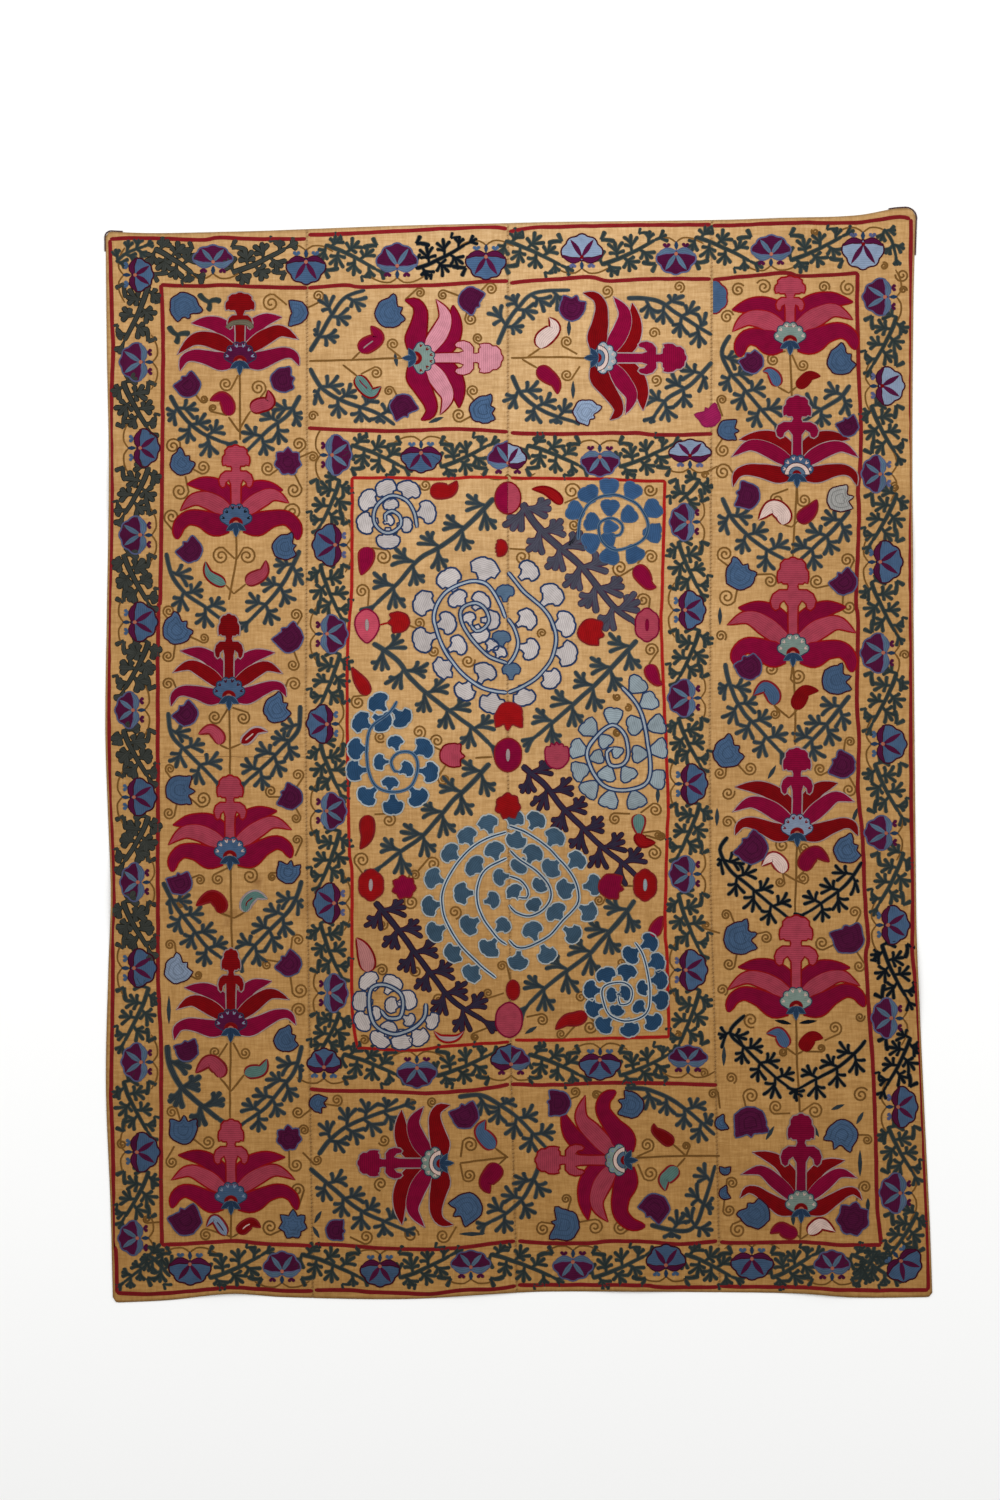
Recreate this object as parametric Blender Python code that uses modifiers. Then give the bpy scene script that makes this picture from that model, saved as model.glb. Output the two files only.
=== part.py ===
"""Suzani: a large embroidered cotton cloth, lying flat and face up.

Four hand-loomed cotton strips are sewn together edge to edge, and their outer edges
are turned under. Short scraps of the old edging braid are left at two top corners.
Metres, +Z up, the cloth's top edge towards +Y, the origin under its middle.
"""

import math

import bmesh
import bpy

# Driving sizes of the cloth, in metres
SHEET_THICK = 0.0018  # cotton with its stitching
SEAM_GAP = 0.0003  # between two strips that are sewn together
CORNER_ROUND = 0.012  # radius of the cloth's corners
RIGHT_TOP_ROUND = 0.022  # the top right corner is rounder
BRAID_THICK = 0.0028  # edging braid left at two corners
BRAID_SIDES = 8

# Each edge strays from a straight line as the cloth was sewn, pulled and worn.
# Rows of the upright edges: height up the cloth, place across it, in metres.
LEFT_EDGE = (
    (1.160, -0.8750), (1.100, -0.8750), (0.850, -0.8724), (0.600, -0.8681), (0.300, -0.8724),
    (0.050, -0.8756), (-0.150, -0.8692), (-0.300, -0.8639), (-0.450, -0.8692),
    (-0.700, -0.8745), (-0.950, -0.8650), (-1.160, -0.8597),
)
LEFT_SEAM = (
    (1.115, -0.4484), (0.540, -0.4484), (0.000, -0.4505), (-0.520, -0.4441),
    (-0.840, -0.4399), (-1.150, -0.4357),
)
MIDDLE_SEAM = (
    (1.127, -0.0223), (0.540, -0.0223), (0.000, -0.0223), (-0.415, -0.0180),
    (-0.650, -0.0159), (-1.140, -0.0032),
)
RIGHT_SEAM = (
    (1.135, 0.4102), (0.540, 0.4081), (0.000, 0.4060), (-0.310, 0.4081),
    (-0.520, 0.4145), (-1.140, 0.4272),
)
RIGHT_EDGE = (
    (1.160, 0.8427), (0.950, 0.8374), (0.600, 0.8353), (0.200, 0.8385), (-0.150, 0.8416),
    (-0.400, 0.8448), (-0.550, 0.8512), (-0.800, 0.8628), (-1.000, 0.8724), (-1.160, 0.8781),
)
# Rows of the level edges: place across the cloth, height up it, in metres.
TOP_EDGE = (
    (-0.870, 1.1088), (-0.780, 1.1056), (-0.620, 1.1077), (-0.450, 1.1140), (-0.250, 1.1215),
    (-0.060, 1.1257), (0.150, 1.1300), (0.400, 1.1332), (0.600, 1.1384), (0.720, 1.1437),
    (0.800, 1.1575), (0.845, 1.1590),
)
BOTTOM_EDGE = (
    (-0.860, -1.1621), (-0.740, -1.1564), (-0.610, -1.1426), (-0.500, -1.1500),
    (-0.240, -1.1543), (-0.060, -1.1437), (0.060, -1.1384), (0.390, -1.1395),
    (0.600, -1.1426), (0.720, -1.1512), (0.880, -1.1500),
)

# The hem stands off the floor in low waves. Rows: the edge, place along it,
# half the wave's length, how far in it reaches, its height, in metres.
HEM_WAVES = (
    ("bottom", -0.620, 0.110, 0.130, 0.0055),
    ("bottom", -0.090, 0.140, 0.110, 0.0040),
    ("bottom", 0.240, 0.120, 0.090, 0.0035),
    ("bottom", 0.640, 0.110, 0.120, 0.0045),
    ("top", -0.640, 0.130, 0.100, 0.0040),
    ("top", 0.060, 0.150, 0.100, 0.0035),
    ("top", 0.560, 0.110, 0.110, 0.0045),
    ("left", 0.560, 0.140, 0.100, 0.0040),
    ("left", -0.300, 0.120, 0.110, 0.0050),
    ("right", 0.420, 0.150, 0.090, 0.0040),
    ("right", -0.480, 0.140, 0.120, 0.0050),
)

# Stations of a strip's faces, as shares of its width and height: close at the hems
OUTER_COLUMNS = (0, 0.006, 0.018, 0.05, 0.13, 0.25, 0.4, 0.58, 0.78, 1)
INNER_COLUMNS = (0, 0.14, 0.28, 0.42, 0.58, 0.72, 0.86, 1)
HEM_ROWS = (0, 0.002, 0.006, 0.018, 0.034, 0.055)
BODY_ROWS = 30

# Rows of the strips: name, left edge, right edge, whether each is a hem
STRIPS = (
    ("panel_left", LEFT_EDGE, LEFT_SEAM, True, False),
    ("panel_centre_left", LEFT_SEAM, MIDDLE_SEAM, False, False),
    ("panel_centre_right", MIDDLE_SEAM, RIGHT_SEAM, False, False),
    ("panel_right", RIGHT_SEAM, RIGHT_EDGE, False, True),
)


def follow(edge, at):
    """The edge's place at a station, on a smooth curve through the rows of its table."""
    rows = sorted(edge)
    at = min(max(at, rows[0][0]), rows[-1][0])
    last = len(rows) - 1
    i = next(i for i in range(last) if at <= rows[i + 1][0])
    (start, low), (end, high) = rows[i], rows[i + 1]
    before, after = rows[max(i - 1, 0)], rows[min(i + 2, last)]
    slope_in = (high - before[1]) / (end - before[0])
    slope_out = (after[1] - low) / (after[0] - start)
    span = end - start
    t = (at - start) / span
    bend = span * (slope_in * (1 - t) - slope_out * t)
    return low + (high - low) * t * t * (3 - 2 * t) + t * (1 - t) * bend


def corner_drop(gap, radius):
    """How far a rounded corner falls back, this near to the side edge."""
    if gap >= radius:
        return 0.0
    return radius - math.sqrt(radius**2 - (radius - max(gap, 0.0)) ** 2)


def top_at(x):
    left_gap = x - follow(LEFT_EDGE, follow(TOP_EDGE, x))
    right_gap = follow(RIGHT_EDGE, follow(TOP_EDGE, x)) - x
    drop = corner_drop(left_gap, CORNER_ROUND) + corner_drop(right_gap, RIGHT_TOP_ROUND)
    return follow(TOP_EDGE, x) - drop


def bottom_at(x):
    left_gap = x - follow(LEFT_EDGE, follow(BOTTOM_EDGE, x))
    right_gap = follow(RIGHT_EDGE, follow(BOTTOM_EDGE, x)) - x
    drop = corner_drop(left_gap, CORNER_ROUND) + corner_drop(right_gap, CORNER_ROUND)
    return follow(BOTTOM_EDGE, x) + drop


def bump(share):
    """1 at the middle of a wave, falling smoothly to 0 at a share of 1."""
    return math.cos(math.pi / 2 * share) ** 2 if abs(share) < 1 else 0.0


def lift_at(x, y):
    """How far the cloth's underside stands off the floor."""
    along_and_in = {
        "bottom": (x, y - follow(BOTTOM_EDGE, x)),
        "top": (x, follow(TOP_EDGE, x) - y),
        "left": (y, x - follow(LEFT_EDGE, y)),
        "right": (y, follow(RIGHT_EDGE, y) - x),
    }
    lift = 0.0
    for side, place, half_length, reach, height in HEM_WAVES:
        along, inwards = along_and_in[side]
        lift = max(lift, height * bump((along - place) / half_length) * bump(inwards / reach))
    return lift


def row_stations():
    """Shares of a strip's height, close together at its two hems."""
    last = HEM_ROWS[-1]
    body = [last + (1 - 2 * last) * i / BODY_ROWS for i in range(1, BODY_ROWS)]
    return [*HEM_ROWS, *body, *(1 - share for share in reversed(HEM_ROWS))]


def column_stations(left_hem, right_hem):
    if left_hem:
        return list(OUTER_COLUMNS)
    if right_hem:
        return [1 - share for share in reversed(OUTER_COLUMNS)]
    return list(INNER_COLUMNS)


def material(name, colour, roughness):
    made = bpy.data.materials.new(name)
    made.use_nodes = True
    shader = made.node_tree.nodes["Principled BSDF"]
    shader.inputs["Base Color"].default_value = (*colour, 1)
    shader.inputs["Roughness"].default_value = roughness
    shader.inputs["Metallic"].default_value = 0
    return made


def strip(name, left, right, left_hem, right_hem, finish):
    """One loom-width strip: a grid fitted between its two edges, then given its thickness."""
    columns, rows = column_stations(left_hem, right_hem), row_stations()
    left_gap = 0 if left_hem else SEAM_GAP / 2
    right_gap = 0 if right_hem else SEAM_GAP / 2
    sheet = bmesh.new()
    # create_grid spans -1 to 1, so a vertex's place gives its column and row
    bmesh.ops.create_grid(
        sheet, x_segments=len(columns) - 1, y_segments=len(rows) - 1, size=1
    )
    for vertex in sheet.verts:
        across = columns[round((vertex.co.x + 1) / 2 * (len(columns) - 1))]
        up = rows[round((vertex.co.y + 1) / 2 * (len(rows) - 1))]
        y = follow(TOP_EDGE, 0) * (2 * up - 1)
        for _ in range(3):  # the edges' places depend on the height, so it settles in steps
            x_left = follow(left, y) + left_gap
            x_right = follow(right, y) - right_gap
            x = x_left + (x_right - x_left) * across
            y = bottom_at(x) + (top_at(x) - bottom_at(x)) * up
        vertex.co = (x, y, lift_at(x, y))
    mesh = bpy.data.meshes.new(name)
    sheet.to_mesh(mesh)
    sheet.free()
    panel = bpy.data.objects.new(name, mesh)
    mesh.materials.append(finish)
    thickness = panel.modifiers.new("Thickness", "SOLIDIFY")
    thickness.thickness = SHEET_THICK
    thickness.offset = 1
    return panel


def braid(name, points, finish):
    """A short round scrap of braid through the points, with closed ends."""
    curve = bpy.data.curves.new(name, "CURVE")
    curve.dimensions = "3D"
    curve.bevel_depth = BRAID_THICK / 2
    curve.bevel_resolution = BRAID_SIDES // 2 - 2
    curve.use_fill_caps = True
    line = curve.splines.new("POLY")
    line.points.add(len(points) - 1)
    for point, place in zip(line.points, points):
        point.co = (*place, 1)
    scrap = bpy.data.objects.new(name, curve)
    curve.materials.append(finish)
    return scrap


def corner_route(side, along_top, down_side, step=0.006):
    """Points just outside a top corner of the cloth, down the side and along the top."""
    clear = SEAM_GAP + BRAID_THICK / 2
    radius = CORNER_ROUND if side < 0 else RIGHT_TOP_ROUND
    edge = LEFT_EDGE if side < 0 else RIGHT_EDGE
    corner_y = follow(TOP_EDGE, follow(edge, 1.15))
    corner_x = follow(edge, corner_y)
    centre_x, centre_y = corner_x - side * radius, corner_y - radius
    points = []
    for i in range(int(down_side / step), 0, -1):
        y = centre_y - i * step
        points.append((follow(edge, y) + side * clear, y))
    turns = 6
    for i in range(turns + 1):
        angle = math.pi / 2 * i / turns
        reach = radius + clear
        points.append((centre_x + side * reach * math.cos(angle), centre_y + reach * math.sin(angle)))
    for i in range(1, int(along_top / step) + 1):
        x = centre_x - side * i * step
        points.append((x, follow(TOP_EDGE, x) + clear))
    return [(x, y, BRAID_THICK / 2 + lift_at(x, y)) for x, y in points]


def main():
    for old in list(bpy.data.objects):
        bpy.data.objects.remove(old)
    parts = bpy.data.collections.new("Suzani")
    bpy.context.scene.collection.children.link(parts)
    cotton = material("ochre_cotton", (0.62, 0.40, 0.15), 0.9)
    dark_braid = material("dark_braid", (0.10, 0.02, 0.02), 0.8)
    for name, left, right, left_hem, right_hem in STRIPS:
        parts.objects.link(strip(name, left, right, left_hem, right_hem, cotton))
    parts.objects.link(braid("edging_top_left", corner_route(-1, 0.024, 0.030), dark_braid))
    parts.objects.link(braid("edging_top_right", corner_route(1, 0.040, 0.080), dark_braid))


main()
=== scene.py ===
import math
import random

import bmesh
import bpy
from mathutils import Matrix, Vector, noise


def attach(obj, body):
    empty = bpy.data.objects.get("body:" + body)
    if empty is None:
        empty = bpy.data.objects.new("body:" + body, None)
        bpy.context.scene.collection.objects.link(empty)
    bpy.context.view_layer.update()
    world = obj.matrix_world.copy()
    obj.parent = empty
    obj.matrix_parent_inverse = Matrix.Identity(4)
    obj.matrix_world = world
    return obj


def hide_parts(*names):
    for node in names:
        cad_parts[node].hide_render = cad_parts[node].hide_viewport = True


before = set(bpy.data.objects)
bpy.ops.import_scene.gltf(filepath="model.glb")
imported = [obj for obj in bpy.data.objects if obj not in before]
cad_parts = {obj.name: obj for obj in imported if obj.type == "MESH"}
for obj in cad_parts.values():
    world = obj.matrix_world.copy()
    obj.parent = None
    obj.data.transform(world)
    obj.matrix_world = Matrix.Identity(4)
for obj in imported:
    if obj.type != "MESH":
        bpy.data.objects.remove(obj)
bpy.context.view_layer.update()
scene = bpy.context.scene
hand = random.Random(11)  # the maker's unsteady hand, the same each run
noise.seed_set(11)

# The pattern is charted in squares of this size, columns counted from the left
# and rows from the top, with the cloth's middle at this column and row
patternChart = {"square": 0.00212, "middleColumn": 518.4, "middleRow": 754.6}


def spot(column, row):
    # Where a charted place falls on the cloth, in metres
    square = patternChart["square"]
    return (
        (column - patternChart["middleColumn"]) * square,
        (patternChart["middleRow"] - row) * square,
    )


def squares(count):
    return count * patternChart["square"]


def between(a, b, share):
    return (a[0] + (b[0] - a[0]) * share, a[1] + (b[1] - a[1]) * share)


def chart(text):
    # Rows of a table under its named columns
    head, *rows = [line.split() for line in text.strip().splitlines()]
    isNumber = lambda word: word.lstrip("-").replace(".", "", 1).isdigit()
    return [
        {name: float(word) if isNumber(word) else word for name, word in zip(head, row)}
        for row in rows
    ]


def route(text):
    # A line's charted column,row places, as points on the cloth
    return [spot(*map(float, pair.split(","))) for pair in text.split()]


def toLinear(hexColour):
    # sRGB hex to the linear values that a shader takes
    values = [int(hexColour[i : i + 2], 16) / 255 for i in (1, 3, 5)]
    return (*(v / 12.92 if v <= 0.04045 else ((v + 0.055) / 1.055) ** 2.4 for v in values), 1)


# ---- the cloth's shape, as its solids have it

clothShape = {
    "thick": 0.0018,
    "seamGap": 0.0003,
    "strip": (0.44, 2.28),  # about how wide and long each of the four is
    "cornerRound": 0.012,
    "rightTopRound": 0.022,
    "cell": 0.0095,  # of the ground's faces
    "hemTurn": 0.011,  # width of cloth turned under at the outer edge
    "hemRise": 0.0004,
    "seamDip": 0.0006,
    "seamWide": 0.006,
    "pucker": 0.00025,  # how deep the ground dips between stitches
    "flatMiddle": (0.70, 0.98),  # no wave of the hem reaches in here
}

# Upright edges: height up the cloth, place across it
leftEdge = (
    (1.160, -0.8750), (1.100, -0.8750), (0.850, -0.8724), (0.600, -0.8681), (0.300, -0.8724),
    (0.050, -0.8756), (-0.150, -0.8692), (-0.300, -0.8639), (-0.450, -0.8692),
    (-0.700, -0.8745), (-0.950, -0.8650), (-1.160, -0.8597),
)
leftSeam = (
    (1.115, -0.4484), (0.540, -0.4484), (0.000, -0.4505), (-0.520, -0.4441),
    (-0.840, -0.4399), (-1.150, -0.4357),
)
middleSeam = (
    (1.127, -0.0223), (0.540, -0.0223), (0.000, -0.0223), (-0.415, -0.0180),
    (-0.650, -0.0159), (-1.140, -0.0032),
)
rightSeam = (
    (1.135, 0.4102), (0.540, 0.4081), (0.000, 0.4060), (-0.310, 0.4081),
    (-0.520, 0.4145), (-1.140, 0.4272),
)
rightEdge = (
    (1.160, 0.8427), (0.950, 0.8374), (0.600, 0.8353), (0.200, 0.8385), (-0.150, 0.8416),
    (-0.400, 0.8448), (-0.550, 0.8512), (-0.800, 0.8628), (-1.000, 0.8724), (-1.160, 0.8781),
)
# Level edges: place across the cloth, height up it
topEdge = (
    (-0.870, 1.1088), (-0.780, 1.1056), (-0.620, 1.1077), (-0.450, 1.1140), (-0.250, 1.1215),
    (-0.060, 1.1257), (0.150, 1.1300), (0.400, 1.1332), (0.600, 1.1384), (0.720, 1.1437),
    (0.800, 1.1575), (0.845, 1.1590),
)
bottomEdge = (
    (-0.860, -1.1621), (-0.740, -1.1564), (-0.610, -1.1426), (-0.500, -1.1500),
    (-0.240, -1.1543), (-0.060, -1.1437), (0.060, -1.1384), (0.390, -1.1395),
    (0.600, -1.1426), (0.720, -1.1512), (0.880, -1.1500),
)
# The hem's low waves: edge, place along it, half length, reach inwards, height
hemWaves = (
    ("bottom", -0.620, 0.110, 0.130, 0.0055),
    ("bottom", -0.090, 0.140, 0.110, 0.0040),
    ("bottom", 0.240, 0.120, 0.090, 0.0035),
    ("bottom", 0.640, 0.110, 0.120, 0.0045),
    ("top", -0.640, 0.130, 0.100, 0.0040),
    ("top", 0.060, 0.150, 0.100, 0.0035),
    ("top", 0.560, 0.110, 0.110, 0.0045),
    ("left", 0.560, 0.140, 0.100, 0.0040),
    ("left", -0.300, 0.120, 0.110, 0.0050),
    ("right", 0.420, 0.150, 0.090, 0.0040),
    ("right", -0.480, 0.140, 0.120, 0.0050),
)
strips = (  # node, its two upright edges, and whether each of them is a hem
    ("panel_left", leftEdge, leftSeam, True, False),
    ("panel_centre_left", leftSeam, middleSeam, False, False),
    ("panel_centre_right", middleSeam, rightSeam, False, False),
    ("panel_right", rightSeam, rightEdge, False, True),
)
sortedRows = {}


def follow(table, at):
    # A smooth curve through the rows of a table
    rows = sortedRows.setdefault(id(table), sorted(table))
    at = min(max(at, rows[0][0]), rows[-1][0])
    last = len(rows) - 1
    i = next(i for i in range(last) if at <= rows[i + 1][0])
    (start, low), (end, high) = rows[i], rows[i + 1]
    before, after = rows[max(i - 1, 0)], rows[min(i + 2, last)]
    slopeIn = (high - before[1]) / (end - before[0])
    slopeOut = (after[1] - low) / (after[0] - start)
    span = end - start
    t = (at - start) / span
    bend = span * (slopeIn * (1 - t) - slopeOut * t)
    return low + (high - low) * t * t * (3 - 2 * t) + t * (1 - t) * bend


def cornerDrop(gap, radius):
    if gap >= radius:
        return 0.0
    return radius - math.sqrt(radius**2 - (radius - max(gap, 0.0)) ** 2)


def levelAt(edge, x, rightRound):
    # Height of the top or bottom edge, and how far its rounded corners fall back
    leftGap = x - follow(leftEdge, follow(edge, x))
    rightGap = follow(rightEdge, follow(edge, x)) - x
    return follow(edge, x), cornerDrop(leftGap, clothShape["cornerRound"]) + cornerDrop(
        rightGap, rightRound
    )


def topAt(x):
    height, drop = levelAt(topEdge, x, clothShape["rightTopRound"])
    return height - drop


def bottomAt(x):
    height, drop = levelAt(bottomEdge, x, clothShape["cornerRound"])
    return height + drop


def bump(share):
    # A smooth hump, 1 at no share and 0 from a whole one on
    return math.cos(math.pi / 2 * share) ** 2 if abs(share) < 1 else 0.0


def hemGaps(x, y):
    return {
        "bottom": y - follow(bottomEdge, x),
        "top": follow(topEdge, x) - y,
        "left": x - follow(leftEdge, y),
        "right": follow(rightEdge, y) - x,
    }


def liftAt(x, y):
    # How far the cloth's underside stands off the floor
    flat = clothShape["flatMiddle"]
    if abs(x) < flat[0] and abs(y) < flat[1]:
        return 0.0
    gaps = hemGaps(x, y)
    lift = 0.0
    for side, place, halfLength, reach, height in hemWaves:
        along = x if side in ("bottom", "top") else y
        lift = max(lift, height * bump((along - place) / halfLength) * bump(gaps[side] / reach))
    return lift


def clothTop(x, y):
    return clothShape["thick"] + liftAt(x, y)


# ---- materials

def addNode(tree, kind, settings=None, **links):
    # Adds a node; a link is an output socket, or a plain value, for the input of that name or
    # for the one that i and its number stand for
    node = tree.nodes.new(kind)
    for name, value in (settings or {}).items():
        setattr(node, name, value)
    for name, value in links.items():
        key = int(name[1:]) if name[1:].isdigit() else name.replace("_", " ")
        socket = node.inputs[key]
        if isinstance(value, bpy.types.NodeSocket):
            tree.links.new(value, socket)
        else:
            socket.default_value = value
    return node


def newFinish(name, **sockets):
    finish = bpy.data.materials.new(name)
    finish.use_nodes = True
    tree = finish.node_tree
    shader = tree.nodes["Principled BSDF"]
    for socket, value in sockets.items():
        shader.inputs[socket.replace("_", " ")].default_value = value
    return finish, tree, shader


def shadeRamp(tree, factor, *stops):
    ramp = addNode(tree, "ShaderNodeValToRGB", None, i0=factor)
    elements = ramp.color_ramp.elements
    while len(elements) < len(stops):
        elements.new(0.5)
    for element, (place, colour) in zip(elements, stops):
        element.position = place
        element.color = colour if len(colour) == 4 else (*colour, 1)
    return ramp.outputs["Color"]


cottonLook = {
    "shade": "#B58B57",
    "light": "#C9A06B",
    "slub": "#A37B4A",
    "threadPitch": 0.0045,  # the real weave has a thread each 0.9 mm, too fine to show
    "streakPitch": 0.011,
}


def homespunOchreCotton():
    # Hand-loomed plain-weave cotton dyed ochre: matt, with slubs and paler and darker wefts
    look = cottonLook
    finish, tree, shader = newFinish(
        "homespun_ochre_cotton", Roughness=0.95, Specular_IOR_Level=0.08
    )
    places = addNode(tree, "ShaderNodeTexCoord").outputs["Object"]
    weft = addNode(tree, "ShaderNodeMapping", None, Vector=places, Scale=(0.12, 1, 1))
    warp = addNode(tree, "ShaderNodeMapping", None, Vector=places, Scale=(1, 0.12, 1))
    wefts, warps = (
        addNode(
            tree, "ShaderNodeTexNoise", None,
            Vector=way.outputs[0], Scale=1 / look["threadPitch"], Detail=3.0, Roughness=0.7,
        ).outputs["Fac"]
        for way in (weft, warp)
    )
    streaks = addNode(
        tree, "ShaderNodeTexNoise", None,
        Vector=weft.outputs[0], Scale=1 / look["streakPitch"] / 2, Detail=2.0,
    )
    cloud = addNode(tree, "ShaderNodeTexNoise", None, Vector=places, Scale=5.0, Detail=3.0)
    weave = addNode(
        tree, "ShaderNodeMix", {"data_type": "FLOAT"}, i0=0.45,
        i2=wefts, i3=warps,
    )
    colour = shadeRamp(
        tree, weave.outputs[0], (0.30, toLinear(look["slub"])),
        (0.47, toLinear(look["shade"])), (0.66, toLinear(look["light"])),
    )
    streaked = shadeRamp(
        tree, streaks.outputs["Fac"], (0.35, (0.72, 0.70, 0.68)), (0.55, (1, 1, 1))
    )
    clouded = shadeRamp(tree, cloud.outputs["Fac"], (0.3, (0.80, 0.76, 0.70)), (0.62, (1, 1, 1)))
    # painted light and shade, with the real stains, in the cotton's tint
    litAndStained = addNode(tree, "ShaderNodeAttribute", {"attribute_name": "lightAndStains"}).outputs["Color"]
    for share, layer in ((0.22, streaked), (0.4, clouded), (1.0, litAndStained)):
        colour = addNode(
            tree, "ShaderNodeMix", {"data_type": "RGBA", "blend_type": "MULTIPLY"},
            i0=share, i6=colour, i7=layer,
        ).outputs[2]
    tree.links.new(colour, shader.inputs["Base Color"])
    bumps = addNode(
        tree, "ShaderNodeBump", None, Strength=0.5, Distance=0.0009, Height=weave.outputs[0]
    )
    tree.links.new(bumps.outputs[0], shader.inputs["Normal"])
    return finish


silkLook = {
    "rowPitch": 0.0042,  # chain stitch rows are 1.3 mm apart, too fine to show
    "stitchLength": 0.0060,
    # painted shade in the grooves between rows
    "rowGrooveShade": 0.80,
    "bumpDeep": 0.0008,
}


def chainStitchSilk():
    # Twisted silk worked in rows of chain stitch: soft gloss, with a fine grain of ribs, painted shade between
    # its rows and stitches and a painted highlight on their crests
    look = silkLook
    finish, tree, shader = newFinish(
        "chain_stitch_silk", Roughness=0.55, Specular_IOR_Level=0.03
    )
    colour = addNode(tree, "ShaderNodeAttribute", {"attribute_name": "thread"}).outputs["Color"]
    rows = addNode(tree, "ShaderNodeUVMap", {"uv_map": "rows"})
    places = addNode(tree, "ShaderNodeTexCoord").outputs["Object"]
    drift = addNode(tree, "ShaderNodeTexNoise", None, Vector=places, Scale=60.0, Detail=2.0)
    bands = addNode(
        tree, "ShaderNodeTexWave", {"bands_direction": "Y"},
        Vector=rows.outputs[0], Scale=0.314 / look["rowPitch"], Distortion=2.2, Detail=1.0,
    )
    stitch = addNode(
        tree, "ShaderNodeMapping", None,
        Vector=rows.outputs[0], Scale=(1 / look["stitchLength"], 1 / look["rowPitch"], 1),
    )
    loops = addNode(
        tree, "ShaderNodeTexNoise", None, Vector=stitch.outputs[0], Scale=2.2, Detail=2.0
    )
    grain = addNode(
        tree, "ShaderNodeMix", {"data_type": "FLOAT"}, i0=0.5,
        i2=bands.outputs["Fac"], i3=loops.outputs["Fac"],
    )
    dark = look["rowGrooveShade"]
    # painted shade in the grooves between rows and stitches, and a painted highlight on their crests
    paintedRowShade = shadeRamp(tree, grain.outputs[0], (0.22, (dark, dark, dark)), (0.7, (1.1, 1.1, 1.1)))
    worn = shadeRamp(
        tree, drift.outputs["Fac"], (0.3, (0.78, 0.78, 0.78)), (0.6, (1.06, 1.06, 1.06))
    )
    for share, layer in ((1.0, paintedRowShade), (0.6, worn)):
        colour = addNode(
            tree, "ShaderNodeMix", {"data_type": "RGBA", "blend_type": "MULTIPLY"},
            i0=share, i6=colour, i7=layer,
        ).outputs[2]
    tree.links.new(colour, shader.inputs["Base Color"])
    bumps = addNode(
        tree, "ShaderNodeBump", None,
        Strength=0.6, Distance=look["bumpDeep"], Height=grain.outputs[0],
    )
    tree.links.new(bumps.outputs[0], shader.inputs["Normal"])
    return finish


# ---- dyed threads

silks = {
    "borderRed": "#6F1519",
    "fieldRed": "#8A1714",
    "crimson": "#6C0328",
    "red": "#670307",
    "scarlet": "#7D090C",
    "rose": "#8E3443",
    "dustyRose": "#A03C4C",
    "pink": "#AC7079",
    "dustyPink": "#96625F",
    "white": "#B9A197",
    "haze": "#8A7A78",
    "plum": "#430C2D",
    "plumEdge": "#350618",
    "blue": "#3A4F69",
    "blueEdge": "#46596C",
    "paleBlue": "#727F92",
    "paleGrey": "#85837F",
    "magentaBud": "#7A1440",
    "deepBlue": "#203A54",
    "roseBlue": "#2A4361",
    "largeBlue": "#334757",
    "palePetal": "#A19894",
    "paleEdge": "#1E2E4C",
    "greyPetal": "#7C868A",
    "seaGreen": "#4C6862",
    "seaGrey": "#6C7C74",
    "lavender": "#4A4E6C",
    "paleHalo": "#999D9C",
    "paleLine": "#8A9196",
    "leaf": "#2A3236",
    "leafBorder": "#28302F",
    "leafRim": "#1B1B15",
    "leafDark": "#31332F",
    "leafEdge": "#504A3A",
    "leafHalo": "#5C5646",
    "navy": "#0A1016",
    "slate": "#3B3A44",
    "plumSlate": "#262030",
    "slateEdge": "#3A1E30",
    "olive": "#6B4A22",
    "calyx": "#1E3046",
    "salmon": "#9A5A46",
    "sewingThread": "#8A6238",
}
silkColours = {name: toLinear(value) for name, value in silks.items()}


def paintedLightAt(x, y):
    # Painted light: a pool of light brightest in the upper middle, and painted shade, browner and darker,
    # towards the foot
    side = 0.400 + 0.068 * y
    rise = min(max((y + 0.7) / 1.0, 0), 1)
    return side * (1 + 0.30 * rise * rise * (3 - 2 * rise) * bump(abs(x) / 0.88))


needleHabits = {
    "outline": 0.0032,  # width of the single chain row round a patch
    "rise": 0.0003,  # the middle of a band over its edges
    "proud": 0.00026,  # the first layer of stitching over the cotton
    "layer": 0.00016,  # and each later layer over the one below
    "lie": 0.0001,  # how unevenly each bit of work lies on its layer
    "wander": 0.0011,  # how far a drawn line strays
    "wanderLength": 0.030,
    "shadeDrift": 0.10,  # thread dyed in small lots
    "channelWeight": (0.8, 0.9, 1.0),  # how much the painted light and shade changes a thread's red, green and blue
    "ringHalf": 0.0009,  # of the rows that show inside a patch, and their shade
    "ringShade": 0.82,
    "hemRoom": 0.004,
}


def turned(x, y, degrees):
    # Places (across, out) of a motif that opens in this direction
    out = (math.cos(math.radians(degrees)), math.sin(math.radians(degrees)))
    return lambda u, v: (x + u * out[1] + v * out[0], y - u * out[0] + v * out[1])


def smoothRoute(points, spacing=0.006):
    # A smooth curve through the points, with a point about each spacing
    path = []
    last = len(points) - 1
    for i in range(last):
        four = (points[max(i - 1, 0)], points[i], points[i + 1], points[min(i + 2, last)])
        steps = max(1, round(math.dist(four[1], four[2]) / spacing))
        for s in range(steps):
            t = s / steps
            path.append(
                tuple(
                    b + 0.5 * t * (
                        c - a + t * (2 * a - 5 * b + 4 * c - d + t * (3 * b - a - 3 * c + d))
                    )
                    for a, b, c, d in zip(*four)
                )
            )
    path.append(points[-1])
    return path


def runAlong(path):
    run = [0.0]
    for a, b in zip(path, path[1:]):
        run.append(run[-1] + math.dist(a, b))
    return run


def sharesOf(path):
    # How far along the path each point is, from 0 to 1
    run = runAlong(path)
    return [r / run[-1] for r in run]


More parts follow.
